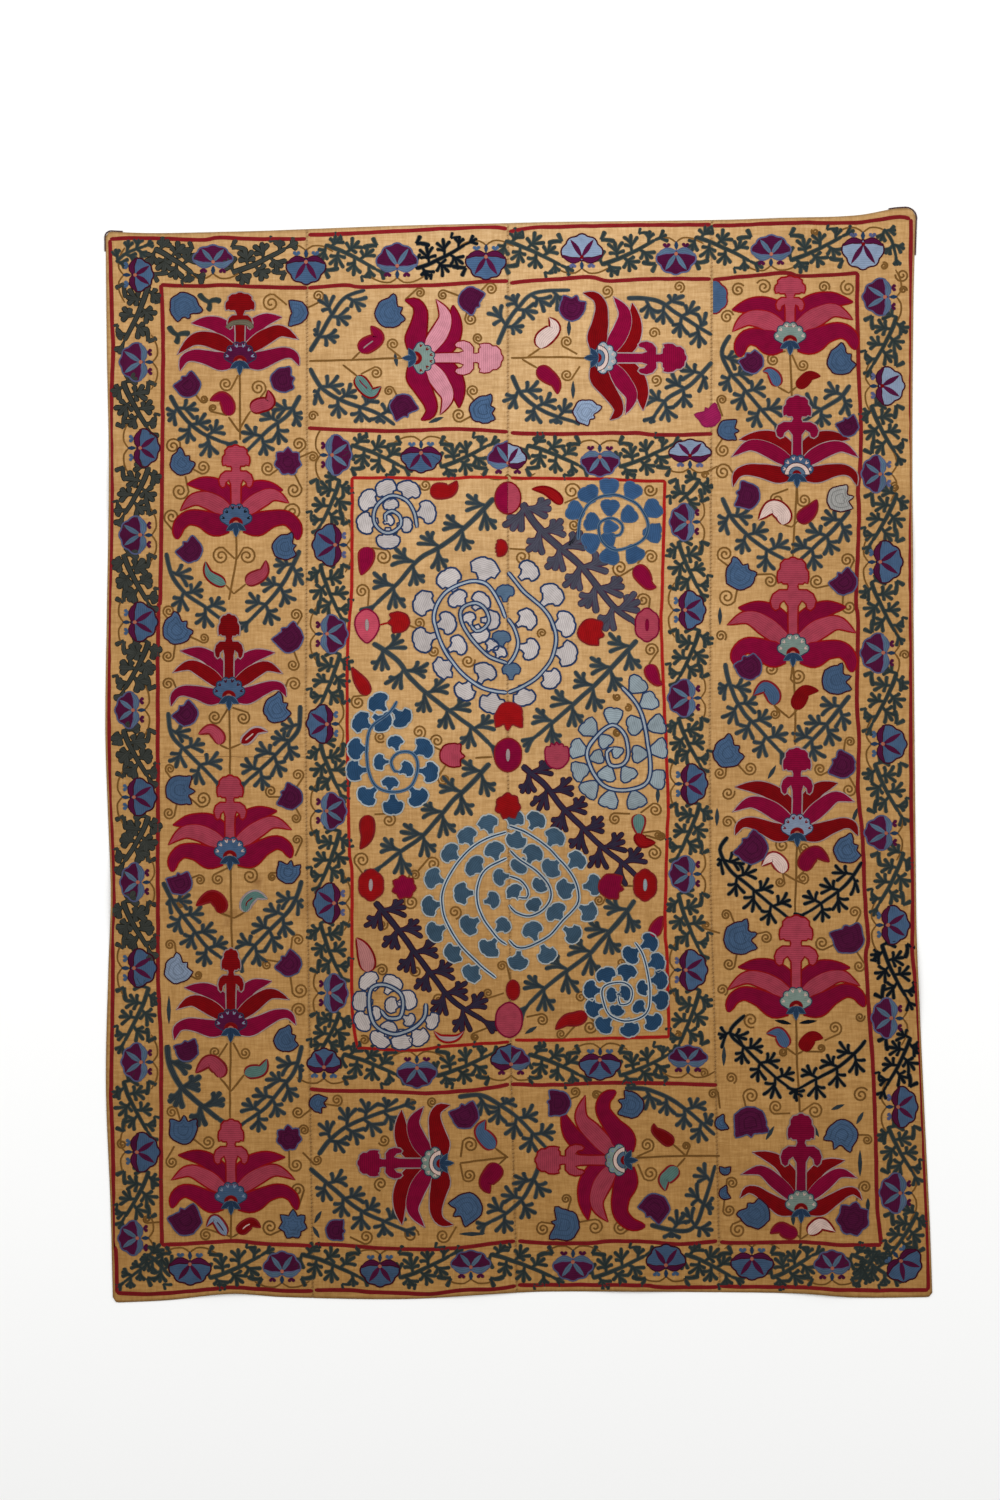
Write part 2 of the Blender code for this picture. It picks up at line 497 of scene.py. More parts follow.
def scalloped(halfWide, tall, lobes, deep, full, steps):
    # A round, or a part of one, with lobes
    points = []
    for i in range(steps + (full < math.tau)):
        angle = full * i / steps
        lobe = 1 - deep * (1 - abs(math.sin(lobes * angle * (math.pi / full))))
        points.append((halfWide * math.cos(angle) * lobe, tall * math.sin(angle) * lobe))
    return points


def oval(halfWide, tall, steps, full=math.tau):
    return scalloped(halfWide, tall, 1, 0, full, steps)


class Stitching:
    # One kind of embroidery, worked all over the cloth and kept as one piece
    def __init__(self, name):
        self.name = name
        self.parts = []
        self.begin()

    def begin(self):
        self.bm = bmesh.new()
        self.thread = self.bm.loops.layers.float_color.new("thread")
        self.rows = self.bm.loops.layers.uv.new("rows")

    def setAside(self):
        # Work done so far, since each new shape takes longer in a large mesh
        part = bpy.data.meshes.new(self.name)
        self.bm.to_mesh(part)
        self.bm.free()
        self.parts.append(part)
        self.begin()

    def paint(self, faces, silk, drift, rowPlaces):
        channels = list(zip(silkColours[silk], needleHabits["channelWeight"]))
        for face in faces:
            face.smooth = True
            for loop in face.loops:
                # painted light and shade, the same pool as on the cotton
                lightLevel = paintedLightAt(*loop.vert.co.xy) / 0.42
                colour = [min(1, c * drift * lightLevel**channelWeight) for c, channelWeight in channels]
                loop[self.thread] = (*colour, 1)
                loop[self.rows].uv = rowPlaces[loop.vert]

    def layDown(self, verts, level):
        # Drops finished work on the cloth, at the height of its layer
        habits = needleHabits
        room = habits["hemRoom"]
        lift = habits["proud"] + habits["layer"] * level + hand.uniform(0, habits["lie"])
        for vert in verts:
            x, y = vert.co.x, vert.co.y
            stray = noise.noise_vector(Vector((x, y, 0)) / habits["wanderLength"])
            x, y = x + stray.x * habits["wander"], y + stray.y * habits["wander"]
            if abs(x) > 0.80 or abs(y) > 1.07:  # no stitch leaves the cloth
                x = min(max(x, follow(leftEdge, y) + room), follow(rightEdge, y) - room)
                y = min(max(y, bottomAt(x) + room), topAt(x) - room)
            vert.co = (x, y, clothTop(x, y) + lift + vert.co.z)

    def trimmed(self, verts, cut):
        # Cuts the work off along a seam, and returns the vertices that stay
        if not cut:
            return verts
        side, x = cut
        faces = {f for v in verts for f in v.link_faces}
        geometry = list(verts) + list({e for f in faces for e in f.edges}) + list(faces)
        kept = bmesh.ops.bisect_plane(
            self.bm, geom=geometry, plane_co=(x, 0, 0), plane_no=(1, 0, 0),
            clear_outer=side == "left", clear_inner=side == "right",
        )["geom"]
        return [g for g in kept if isinstance(g, bmesh.types.BMVert)]

    def patch(
        self, outline, place, fill, edge=None, level=1, edgeWide=None, cut=None, rings=(),
    ):
        # A filled patch, with a chain row of the same or another thread round it, and rows that
        # show inside it at these shares of its size
        habits = needleHabits
        edgeWide = edgeWide or habits["outline"]
        made = bmesh.ops.create_circle(
            self.bm, cap_ends=True, segments=len(outline), radius=1
        )["verts"]
        rowPlaces = {}
        for vert in made:  # a vertex's angle round the circle gives its place in the outline
            turn = math.atan2(vert.co.y, vert.co.x) / math.tau - 0.25
            u, v = outline[round(turn * len(outline)) % len(outline)]
            vert.co = (*place(u, v), 0)
            rowPlaces[vert] = (u, v)
        face = made[0].link_faces[0]
        face.normal_update()
        if face.normal.z < 0:
            face.normal_flip()
        drift = 1 + hand.uniform(-1, 1) * habits["shadeDrift"]
        self.paint([face], fill, drift, rowPlaces)
        self.layDown(self.trimmed(made, cut), level)
        rim = [place(u, v) for u, v in outline]
        self.ribbon(
            [*rim, rim[0]], [edgeWide / 2] * (len(rim) + 1), edge or fill,
            level=level + 1, closed=True, cut=cut,
        )
        for share in rings:
            ring = [place(u * share, v * share) for u, v in outline[::2]]
            self.ribbon(
                [*ring, ring[0]], [habits["ringHalf"]] * (len(ring) + 1), fill,
                level=level + 1, closed=True, cut=cut, shade=habits["ringShade"],
            )

    def ribbon(
        self, path, halves, fill, edge=None, level=0, edgeWide=None, rise=None, place=None,
        closed=False, cut=None, shade=1.0,
    ):
        # A band along a path, half as wide as halves says at each of its points
        habits = needleHabits
        edgeWide = edgeWide or habits["outline"]
        rise = habits["rise"] if rise is None else rise
        if place:
            path = [place(u, v) for u, v in path]
        columns = 5 if edge else 3
        rowPlaces = {}
        if len(self.bm.verts) > 3000:
            self.setAside()
        made = bmesh.ops.create_grid(
            self.bm, x_segments=len(path) - 1, y_segments=columns - 1, size=1
        )["verts"]
        run = runAlong(path)
        columnOf = {}
        for vert in made:
            i = round((vert.co.x + 1) / 2 * (len(path) - 1))
            j = round((vert.co.y + 1) / 2 * (columns - 1))
            ahead, behind = path[min(i + 1, len(path) - 1)], path[max(i - 1, 0)]
            if closed and i in (0, len(path) - 1):
                ahead, behind = path[1], path[-2]
            length = math.dist(ahead, behind) or 1
            tangent = ((ahead[0] - behind[0]) / length, (ahead[1] - behind[1]) / length)
            inner = max(0.25, 1 - edgeWide / max(halves[i], 0.0001))
            share = (-1, -inner, 0, inner, 1)[j] if edge else (-1, 0, 1)[j]
            across = share * halves[i]
            height = rise * (1 if abs(share) < 1 else 0) * min(1, halves[i] / 0.0015)
            vert.co = (
                path[i][0] - tangent[1] * across, path[i][1] + tangent[0] * across, height
            )
            rowPlaces[vert] = (run[i], across)
            columnOf[vert] = j
        faces = {f for v in made for f in v.link_faces}
        drift = shade * (1 + hand.uniform(-1, 1) * habits["shadeDrift"])
        rim = {f for f in faces if edge and sum(columnOf[v] for v in f.verts) / 4 in (0.5, 3.5)}
        self.paint(faces - rim, fill, drift, rowPlaces)
        self.paint(rim, edge or fill, drift, rowPlaces)
        self.layDown(self.trimmed(made, cut), level)

    def line(
        self, points, half, fill, edge=None, level=0, spacing=0.008, taper=False, rise=None,
        edgeShare=0.45,
    ):
        # A drawn line of even width, narrower at its ends
        path = smoothRoute(points, spacing)
        halves = [half] * len(path)
        if taper:
            halves = [half * (1 - 0.25 * s) for s in sharesOf(path)]
        halves[0] *= 0.6
        halves[-1] *= 0.6
        self.ribbon(path, halves, fill, edge, level, edgeWide=half * edgeShare, rise=rise)

    def blade(
        self, points, half, profile, fill, edge=None, level=1, spacing=0.005, place=None,
        edgeWide=None,
    ):
        # A petal, leaf or paisley along a curved midrib, as wide as its profile says
        path = smoothRoute(points, spacing)
        halves = [half * max(0.03, follow(profile, s)) for s in sharesOf(path)]
        self.ribbon(path, halves, fill, edge, level, place=place, edgeWide=edgeWide)

    def finish(self, silk):
        self.setAside()
        self.bm.free()
        whole = bmesh.new()
        for part in self.parts:
            whole.from_mesh(part)
            bpy.data.meshes.remove(part)
        mesh = bpy.data.meshes.new(self.name)
        whole.to_mesh(mesh)
        whole.free()
        piece = bpy.data.objects.new(self.name, mesh)
        mesh.materials.append(silk)
        scene.collection.objects.link(piece)
        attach(piece, "root")
        triangles = sum(len(p.vertices) - 2 for p in mesh.polygons)
        print("stitched", self.name, "with", triangles, "triangles")
        return piece


cotton = homespunOchreCotton()
silk = chainStitchSilk()
print("finishes are mixed")

# ---- the four cotton strips

stainChart = chart("""
column row reach strength
257 882 8 0.9
231 915 11 0.5
227 924 7 0.5
318 890 15 0.5
310 905 18 0.45
377 993 8 0.4
418 1012 8 0.4
297 815 12 0.25
700 500 16 0.15
""")


def lightAndStainsAt(x, y):
    # How painted light and shade, patchy tone and old stains tint the cotton, against the finish's own colour
    lightLevel = paintedLightAt(x, y)
    # painted light: the pool of light, brightest in the upper middle, browner and darker towards the foot
    tint = [lightLevel / 0.499, lightLevel * (0.40 + 0.38 * lightLevel) / 0.285, 0.5 * lightLevel * lightLevel / 0.111]
    patchy = noise.noise(Vector((x, y, 3)) * 4) * 0.05
    # painted shade: the cotton darkens towards its edges, where the turned hem lies in shade
    hem = max(0, 1 - min(hemGaps(x, y).values()) / 0.006) * 0.30
    for spotRow in stainChart:
        stainX, stainY = spot(spotRow["column"], spotRow["row"])
        far = math.dist((x, y), (stainX, stainY)) / squares(spotRow["reach"])
        dirt = spotRow["strength"] * bump(far)
        tint = [t * (1 - dirt * channelWeight) for t, channelWeight in zip(tint, (0.55, 0.66, 0.72))]
    return [max(0.05, t * (1 + patchy - hem)) for t in tint]


def closerAtEdges(share):
    return share - 0.045 * math.sin(2 * math.pi * share)


def cottonStrip(name, left, right, leftHem, rightHem):
    shape = clothShape
    columns, rows = (round(side / shape["cell"]) for side in shape["strip"])
    bm = bmesh.new()
    bmesh.ops.create_grid(bm, x_segments=columns, y_segments=rows, size=1)
    leftGap = 0 if leftHem else shape["seamGap"] / 2
    rightGap = 0 if rightHem else shape["seamGap"] / 2
    for vert in bm.verts:
        across = closerAtEdges((vert.co.x + 1) / 2)
        up = closerAtEdges((vert.co.y + 1) / 2)
        y = topEdge[5][1] * (2 * up - 1)
        for _ in range(3):  # the edges' places depend on the height
            xLeft, xRight = follow(left, y) + leftGap, follow(right, y) - rightGap
            x = xLeft + (xRight - xLeft) * across
            y = bottomAt(x) + (topAt(x) - bottomAt(x)) * up
        vert.co = (x, y, liftAt(x, y))
    under = list(bm.faces)
    bmesh.ops.recalc_face_normals(bm, faces=under)
    if under[0].normal.z < 0:
        bmesh.ops.reverse_faces(bm, faces=under)
    bmesh.ops.solidify(bm, geom=under, thickness=-shape["thick"])
    bmesh.ops.recalc_face_normals(bm, faces=bm.faces)
    bm.normal_update()
    lightAndStains = bm.verts.layers.float_color.new("lightAndStains")
    for vert in bm.verts:
        x, y = vert.co.x, vert.co.y
        vert[lightAndStains] = (*lightAndStainsAt(x, y), 1)
        if vert.normal.z > 0.3:
            seam = min(abs(x - follow(line, y)) for line in (leftSeam, middleSeam, rightSeam))
            hem = min(hemGaps(x, y).values())
            vert.co.z -= shape["seamDip"] * bump(seam / shape["seamWide"])
            vert.co.z += shape["hemRise"] * (1 if 0.001 < hem < shape["hemTurn"] else 0)
            vert.co.z -= shape["pucker"] * (0.5 + 0.5 * noise.noise(Vector((x, y, 0)) * 38))
    for face in bm.faces:
        face.smooth = True
    mesh = bpy.data.meshes.new(name + "_cotton")
    bm.to_mesh(mesh)
    bm.free()
    mesh.materials.append(cotton)
    strip = bpy.data.objects.new(name + "_cotton", mesh)
    scene.collection.objects.link(strip)
    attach(strip, "root")
    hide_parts(name)
    widths = [follow(right, y / 10) - follow(left, y / 10) for y in range(-11, 12)]
    round(topAt(xLeft) - bottomAt(xLeft), 3)
    return strip


for stripRow in strips:
    cottonStrip(*stripRow)
    print("wove", stripRow[0])

# ---- border lines in chain stitch

lineLook = {"borderHalf": 0.0042, "fieldHalf": 0.0034, "weftHalf": 0.0005}

borderRoutes = (
    # the outer line, strip by strip
    "110,239 140,238 200,240 220,238 260,239 306,239",
    "308,235 340,234 400,231 460,228 490,227 507,229",
    "509,232 530,228 560,227 600,226 640,225 711,225",
    "713,226 740,225 800,223 850,223 870,221 900,217 910,219",
    "911,219 911,400 912,480 910,560 911,620 911,800 912,840 913,900 912,950 915,980 917,1000 "
    "920,1050 922,1100 924,1150 926,1200 928,1250 928,1290",
    "117,1293 150,1294 180,1292 210,1289 230,1287 260,1289 290,1291 313,1291",
    "315,1290 345,1290 370,1292 400,1293 430,1294 460,1290 490,1289 516,1286",
    "518,1285 635,1285 660,1287 718,1287",
    "720,1286 760,1287 800,1287 850,1290 928,1290",
    "110,240 112,320 113,350 111,420 112,480 111,550 109,620 109,740 110,800 112,840 114,900 "
    "112,935 113,960 112,1040 111,1100 113,1150 113,1240 116,1250 117,1293",
    # the second line
    "161,285 200,286 225,285 260,287 307,288",
    "308,288 345,285 360,287 400,286 440,285 480,282 508,281",
    "510,283 530,281 560,279 590,277 610,281 650,279 711,279",
    "713,280 740,277 785,273 800,276 830,275 858,273",
    "858,273 857,300 858,340 859,380 861,430 860,470 858,490 859,520 856,600 858,620 857,700 "
    "859,740 858,790 862,830 864,870 865,900 868,940 866,955 868,1000 872,1050 874,1090 "
    "876,1150 877,1200 881,1244",
    "881,1245 840,1245 800,1242 740,1243 720,1242",
    "717,1241 680,1244 650,1242 610,1241 590,1243 545,1243 518,1241",
    "515,1241 495,1243 465,1247 440,1249 410,1249 380,1248 340,1245 315,1244",
    "312,1246 270,1244 235,1241 215,1242 180,1244 162,1245",
    "161,285 163,340 162,480 161,550 160,600 158,640 158,950 159,1000 161,1050 161,1180 162,1245",
    # the cross lines above and below the field
    "308,428 350,430 400,431 450,429 480,430 508,432",
    "511,433 560,434 630,433 660,435 712,434",
    "310,1089 340,1091 380,1091 425,1093 450,1092 490,1088 509,1084",
    "511,1084 550,1085 600,1083 650,1083 717,1085",
)
fieldRoutes = (
    "352,478 400,478 440,479 480,477 508,478",
    "511,478 600,479 640,481 665,481",
    "665,481 664,520 662,600 661,620 664,700 666,740 668,800 667,840 666,880 665,930 667,960 669,1037",
    "669,1037 620,1038 560,1040 515,1040",
    "509,1042 450,1046 420,1050 400,1050 357,1048",
    "352,478 352,560 351,600 348,640 347,700 349,840 352,880 352,1000 357,1048",
)
lines = Stitching("border_lines")
for text in borderRoutes:
    lines.line(route(text), lineLook["borderHalf"], "borderRed", level=1)
for text in fieldRoutes:
    lines.line(route(text), lineLook["fieldHalf"], "fieldRed", level=1)
# a thick weft that shows
lines.line(
    route("163,757 200,756.5 260,757 306,757"), lineLook["weftHalf"], "sewingThread", rise=0.0001
)
lines.finish(silk)

# ---- fans of the two borders

fanLook = {
    "scallops": 5,
    "scallopDeep": 0.09,
    "rayTurn": 34,  # degrees each side of the middle
    "rayReach": 0.84,
    "rayHalf": 0.0054,
    "sepalHalf": 0.0070,
    "hubHalf": 0.0036,
    "heartOut": -0.0175,
    "heartAcross": 0.0200,
    "heartReach": 0.0110,
    "heartHalf": 0.0040,
    "heartTurn": 34,
    "calyxHalf": 0.0044,
    "stemHalf": 0.0018,
    "stemRoute": ((0, -0.024), (0.014, -0.034), (0.036, -0.033), (0.058, -0.022)),
}
fanSilks = {  # body, sepals and rays, outline, hub
    "blue": ("blue", "plum", "plumEdge", "salmon"),
    "pale": ("paleBlue", "plum", "plumEdge", "red"),
    "plum": ("plum", "blueEdge", "lavender", "salmon"),
}
fanChart = chart("""
side column row opens width reach silk hearts
outerTop 135 275 0 35 19 blue blue
outerTop 213 262 90 42 17 plum plum
outerTop 306 262 270 41 23 blue blue
outerTop 397 266 90 43 23 plum plum
outerTop 486 257 270 42 23 blue blue
outerTop 582 257 90 43 23 pale lavender
outerTop 676 254 270 41 21 plum plum
outerTop 771 254 90 41 19 plum plum
outerTop 863 244 270 44 26 pale lavender
outerRight 885 297 180 39 23 plum plum
outerRight 882 386 0 40 23 pale lavender
outerRight 880 474 180 39 19 plum lavender
outerRight 880 562 0 44 23 blue blue
outerRight 883 653 180 41 23 plum plum
outerRight 883 744 0 40 24 blue blue
outerRight 886 833 180 36 22 plum plum
outerRight 888 925 0 40 22 blue blue
outerRight 891 1018 180 42 20 plum plum
outerRight 898 1107 0 43 20 blue lavender
outerRight 900 1193 180 42 21 plum plum
outerRight 901 1261 310 40 22 blue blue
outerBottom 832 1268 90 37 18 plum plum
outerBottom 752 1259 270 44 21 blue blue
outerBottom 666 1265 90 41 21 blue blue
outerBottom 573 1262 270 42 19 plum plum
outerBottom 471 1267 90 41 17 plum plum
outerBottom 380 1266 270 41 21 blue blue
outerBottom 282 1271 90 39 20 plum plum
outerBottom 190 1264 270 44 21 blue blue
outerLeft 137 1238 180 36 19 plum plum
outerLeft 137 1152 0 41 23 blue blue
outerLeft 141 1062 180 40 20 plum plum
outerLeft 134 968 0 40 23 blue blue
outerLeft 138 882 180 40 18 plum plum
outerLeft 134 797 0 39 23 blue blue
outerLeft 133 710 180 38 18 plum plum
outerLeft 135 622 0 41 23 blue blue
outerLeft 140 535 180 39 21 plum plum
outerLeft 140 448 0 40 20 blue blue
outerLeft 141 362 180 40 22 plum plum
innerTop 332 455 0 42 20 plum plum
innerTop 421 453 270 42 20 blue blue
innerTop 507.5 463 90 42 22 cut plum
innerTop 600 457 270 40 20 plum plum
innerTop 690 456 90 44 17 pale lavender
innerRight 688 522 180 39 19 plum plum
innerRight 685 610 0 40 21 blue blue
innerRight 689 698 180 39 22 plum plum
innerRight 687 784 0 42 21 blue blue
innerRight 689 874 180 38 20 plum plum
innerRight 686 970 0 42 22 blue lavender
innerBottom 688 1061 90 40 16 plum plum
innerBottom 600 1060 270 43 20 blue blue
innerBottom 509.5 1064 90 42 20 cut plum
innerBottom 417 1068 270 41 20 plum plum
innerBottom 324 1067 90 35 19 blue blue
innerLeft 330 993 0 40 18 plum plum
innerLeft 334 903 180 42 21 blue lavender
innerLeft 327 811 0 38 20 plum plum
innerLeft 327 724 180 40 21 blue blue
innerLeft 327 634 0 40 21 plum plum
innerLeft 335 545 180 44 23 blue lavender
""")
leafProfile = ((0, 0.10), (0.15, 0.55), (0.45, 1.0), (0.8, 0.62), (1, 0.06))
sepalProfile = ((0, 0.45), (0.25, 1.0), (0.55, 0.9), (0.85, 0.42), (1, 0.06))
lobeProfile = ((0, 0.15), (0.3, 0.6), (0.7, 1.0), (0.9, 0.8), (1, 0.3))
fingerProfile = ((0, 0.78), (0.45, 0.92), (0.84, 1.08), (0.95, 0.86), (1, 0.35))
cloverProfile = ((0, 0.34), (0.35, 0.66), (0.66, 1.0), (0.9, 0.92), (1, 0.34))


def fanRim(half, reach):
    # A half round, its rim lightly scalloped
    rim = scalloped(half, reach, fanLook["scallops"], fanLook["scallopDeep"], math.pi, 24)
    return [*rim, (-half * 0.5, -reach * 0.10), (0, -reach * 0.16), (half * 0.5, -reach * 0.10)]


seamRoom = 0.0004  # from a seam to the work that is cut off along it
fans = Stitching("fan_flowers")
fanStems = Stitching("fan_stems")


def fanFlower(x, y, opens, half, reach, silkKind, hearts, cut=None, sides=(-1, 1)):
    look = fanLook
    place = turned(x, y, opens)
    body, rays, edge, hub = fanSilks[silkKind]
    fans.patch(fanRim(half, reach), place, body, edge, level=3, cut=cut)
    for side in sides:
        tilt = math.radians(look["rayTurn"]) * side
        tip = (math.sin(tilt) * half * 0.95, math.cos(tilt) * reach * look["rayReach"] * 1.08)
        fans.blade(
            [(0, 0), (tip[0] * 0.5, tip[1] * 0.52), tip], look["rayHalf"], leafProfile,
            rays, level=5, place=place, spacing=0.008,
        )
        ribs = ((0.04, -0.004), (0.5, -0.0070), (0.98, 0.0050))
        fans.blade(
            [(side * half * share, out) for share, out in ribs], look["sepalHalf"], sepalProfile,
            rays, edge, level=5, place=place, spacing=0.008, edgeWide=0.0020,
        )
        point = (side * look["heartAcross"], look["heartOut"] + look["heartReach"] * 0.35)
        for turn in (-look["heartTurn"], look["heartTurn"]):  # two lobes part from its point
            bend, reachOut = math.radians(turn), look["heartReach"]
            end = (point[0] + math.sin(bend) * reachOut, point[1] - math.cos(bend) * reachOut)
            fans.blade(
                [point, end], look["heartHalf"], lobeProfile, hearts, level=4, place=place,
                spacing=0.003,
            )
        stem = [(side * across, out) for across, out in look["stemRoute"]]
        fanStems.line([place(*p) for p in stem], look["stemHalf"], "olive", level=0)
    fans.patch(
        oval(look["hubHalf"], look["hubHalf"], 8), place, hub, level=8, edgeWide=0.0012, cut=cut
    )
    if len(sides) == 2:
        fans.blade(
            [(0, -0.009), (0, -0.027)], look["calyxHalf"], leafProfile, "calyx", level=4,
            place=place, spacing=0.004,
        )


for row in fanChart:
    x, y = spot(row["column"], row["row"])
    half, reach = squares(row["width"]) / 2, squares(row["reach"])
    if row["silk"] == "cut":  # two half flowers that meet, mismatched, at the middle seam
        seamX = follow(middleSeam, y)
        isTop = row["side"] == "innerTop"
        leftSilk, rightSilk = ("plum", "pale") if isTop else ("blue", "plum")
        for side, sign, silkKind, wide, long in (
            ("left", -1, leftSilk, 1, 1), ("right", 1, rightSilk, 0.92, 0.9),
        ):
            cut = (side, seamX + sign * seamRoom)
            fanFlower(seamX, y, 90, half * wide, reach * long, silkKind, "plum", cut, (sign,))
    else:
        fanFlower(x, y, row["opens"], half, reach, row["silk"], row["hearts"])
fans.finish(silk)
fanStems.finish(silk)

# ---- coral branches between the fans

coralLook = {
    "fingerHalf": 0.0045,
    "heavyHalf": 0.0080,
    "sparseHalf": 0.0066,
    "navyHalf": 0.0043,
    "stemHalf": 0.0054,
    "core": 0.70,  # width of a finger inside its paler outline
    "fanRoom": 19,  # chart squares kept free round each fan, and along the border's lines
    "lineRoom": 9,
    "shortSpan": 17,  # a shorter branch has every second hand
}
# The stem between two fans, in shares of its half length and half height
coralDiagonal = ((-1.0, -1.0), (-0.4, -0.55), (0.3, 0.15), (0.94, 0.9))
# Hands on a rising branch between two fans: share of its stem, turn, reach in chart squares
coralHands = chart("""
share turn reach fingers
0.03 106 16 3
0.28 100 19 4
0.56 94 18 3
0.84 84 13 2
0.12 -46 16 3
0.40 -42 19 4
0.68 -36 18 3
0.99 26 14 2
""")
coralBirds = chart("""
along across turn size
-25 12 -8 0.030
24 -12 172 0.030
-9 -18 182 0.020
9 18 2 0.020
""")
# Side fingers of a hand, the stem's root side first: share of the middle finger where each parts,
# degrees off it, share of its length, and curl
handForms = {
    "palm": chart("""
share lean length curl
0.20 26 0.84 -0.05
0.20 -27 0.82 0.05
0.32 60 0.52 -0.18
0.24 -60 0.42 0.10
"""),
    "coral": chart("""
share lean length curl
0.36 40 0.64 -0.05
0.36 -40 0.64 0.05
0.28 80 0.46 -0.10
0.28 -78 0.42 0.10
"""),
}


def isOutside(room, x, y):
    left, bottom, right, top, spread = room
    return not (left < x < right + spread * max(0, -y) and bottom < y < top)


def finger(work, start, degrees, length, half, threads, curl=0.0, room=None, lobed=None):
    turn = math.radians(degrees)
    across, along = (-math.sin(turn), math.cos(turn)), (math.cos(turn), math.sin(turn))
    full = length
    while room and isOutside(room, start[0] + along[0] * length, start[1] + along[1] * length):
        length *= 0.8
        if length < full * 0.35:
            return None
    bend = (hand.uniform(-0.05, 0.05) + curl) * length
    path = []
    for share in (0, 0.3, 0.6, 0.84, 0.95, 1):
        side, ahead = 4 * bend * share * (1 - share), length * share
        path.append(
            tuple(s + a * ahead + c * side for s, a, c in zip(start, along, across))
        )
    fill, edge = threads
    profile = cloverProfile if lobed == "round" else fingerProfile
    halves = [half * follow(profile, s) for s in sharesOf(path)]
    if lobed:  # each lobe has its own dark outline
        work.ribbon(path, halves, fill, edge, level=1, edgeWide=0.0020)
        return path
    work.ribbon(path, halves, edge, rise=0.0001)  # runs round all the fingers together
    work.ribbon(path, [h * coralLook["core"] for h in halves], fill, level=1)
    return path


def claw(
    work, start, degrees, reach, half, threads, fingers=2, way=1, room=None, lobed=None,
    form="coral",
):
    # A hand as on coral or an oak leaf: a middle finger that the side fingers part from
    middle = finger(
        work, start, degrees, reach * hand.uniform(0.92, 1.08), half, threads, room=room,
        lobed=lobed,
    )
    if not middle:
        return
    for row in handForms[form][: int(fingers)]:
        at = between(middle[0], middle[-1], row["share"])
        finger(
            work, at, degrees + way * row["lean"] * hand.uniform(0.9, 1.1),
            reach * row["length"] * hand.uniform(0.9, 1.1), half * 0.96, threads,
            curl=row["curl"] * way, room=room, lobed=lobed,
        )


def headingOf(path, i):
    ahead, behind = path[min(i + 1, len(path) - 1)], path[max(i - 1, 0)]
    return math.degrees(math.atan2(ahead[1] - behind[1], ahead[0] - behind[0]))


def branchStem(work, points, stemHalf, threads):
    fill, edge = threads
    work.line(points, stemHalf, edge, taper=True, rise=0.0001)
    work.line(points, stemHalf * coralLook["core"], fill, taper=True, level=2)
    return smoothRoute(points, 0.004)


def branch(work, points, look, threads, room=None):
    # A stem with a hand on each side at its nodes, leaning towards its tip
    path = branchStem(work, points, look["stem"], threads)
    shares = sharesOf(path)
    first = look["first"]
    length = runAlong(path)[-1] * (1 - first)
    nodes = max(2, round(length / look["spacing"]))
    for n in range(nodes):
        for side in (-1, 1):
            near = first + (0.98 - first) * n / (nodes - 0.3) + side * 0.008
            i = min(range(len(path)), key=lambda k: abs(shares[k] - near))
            claw(
                work, path[i], headingOf(path, i) + side * look["lean"] * hand.uniform(0.9, 1.1),
                look["reach"] * hand.uniform(0.92, 1.06), look["half"], threads, look["fingers"],
                side, room, look.get("lobed"), look["form"],
            )
    claw(
        work, path[-2], headingOf(path, len(path) - 2), look["reach"] * 0.8, look["half"],
        threads, 2, 1, room, look.get("lobed"), look["form"],
    )


def dashLeaf(work, x, y, degrees, length, half, thread):
    work.blade(
        [(0, -length / 2), (0, length / 2)], half, leafProfile, thread, level=0,
        spacing=length / 4, place=turned(x, y, degrees),
    )


def birdLeaf(work, x, y, degrees, size, threads, way=1):
    # Two leaves that part from one point, as a bird's wings
    finger(work, (x, y), degrees, size, size * 0.18, threads, curl=0.08 * way)
    finger(work, (x, y), degrees + way * 72, size * 0.68, size * 0.17, threads)


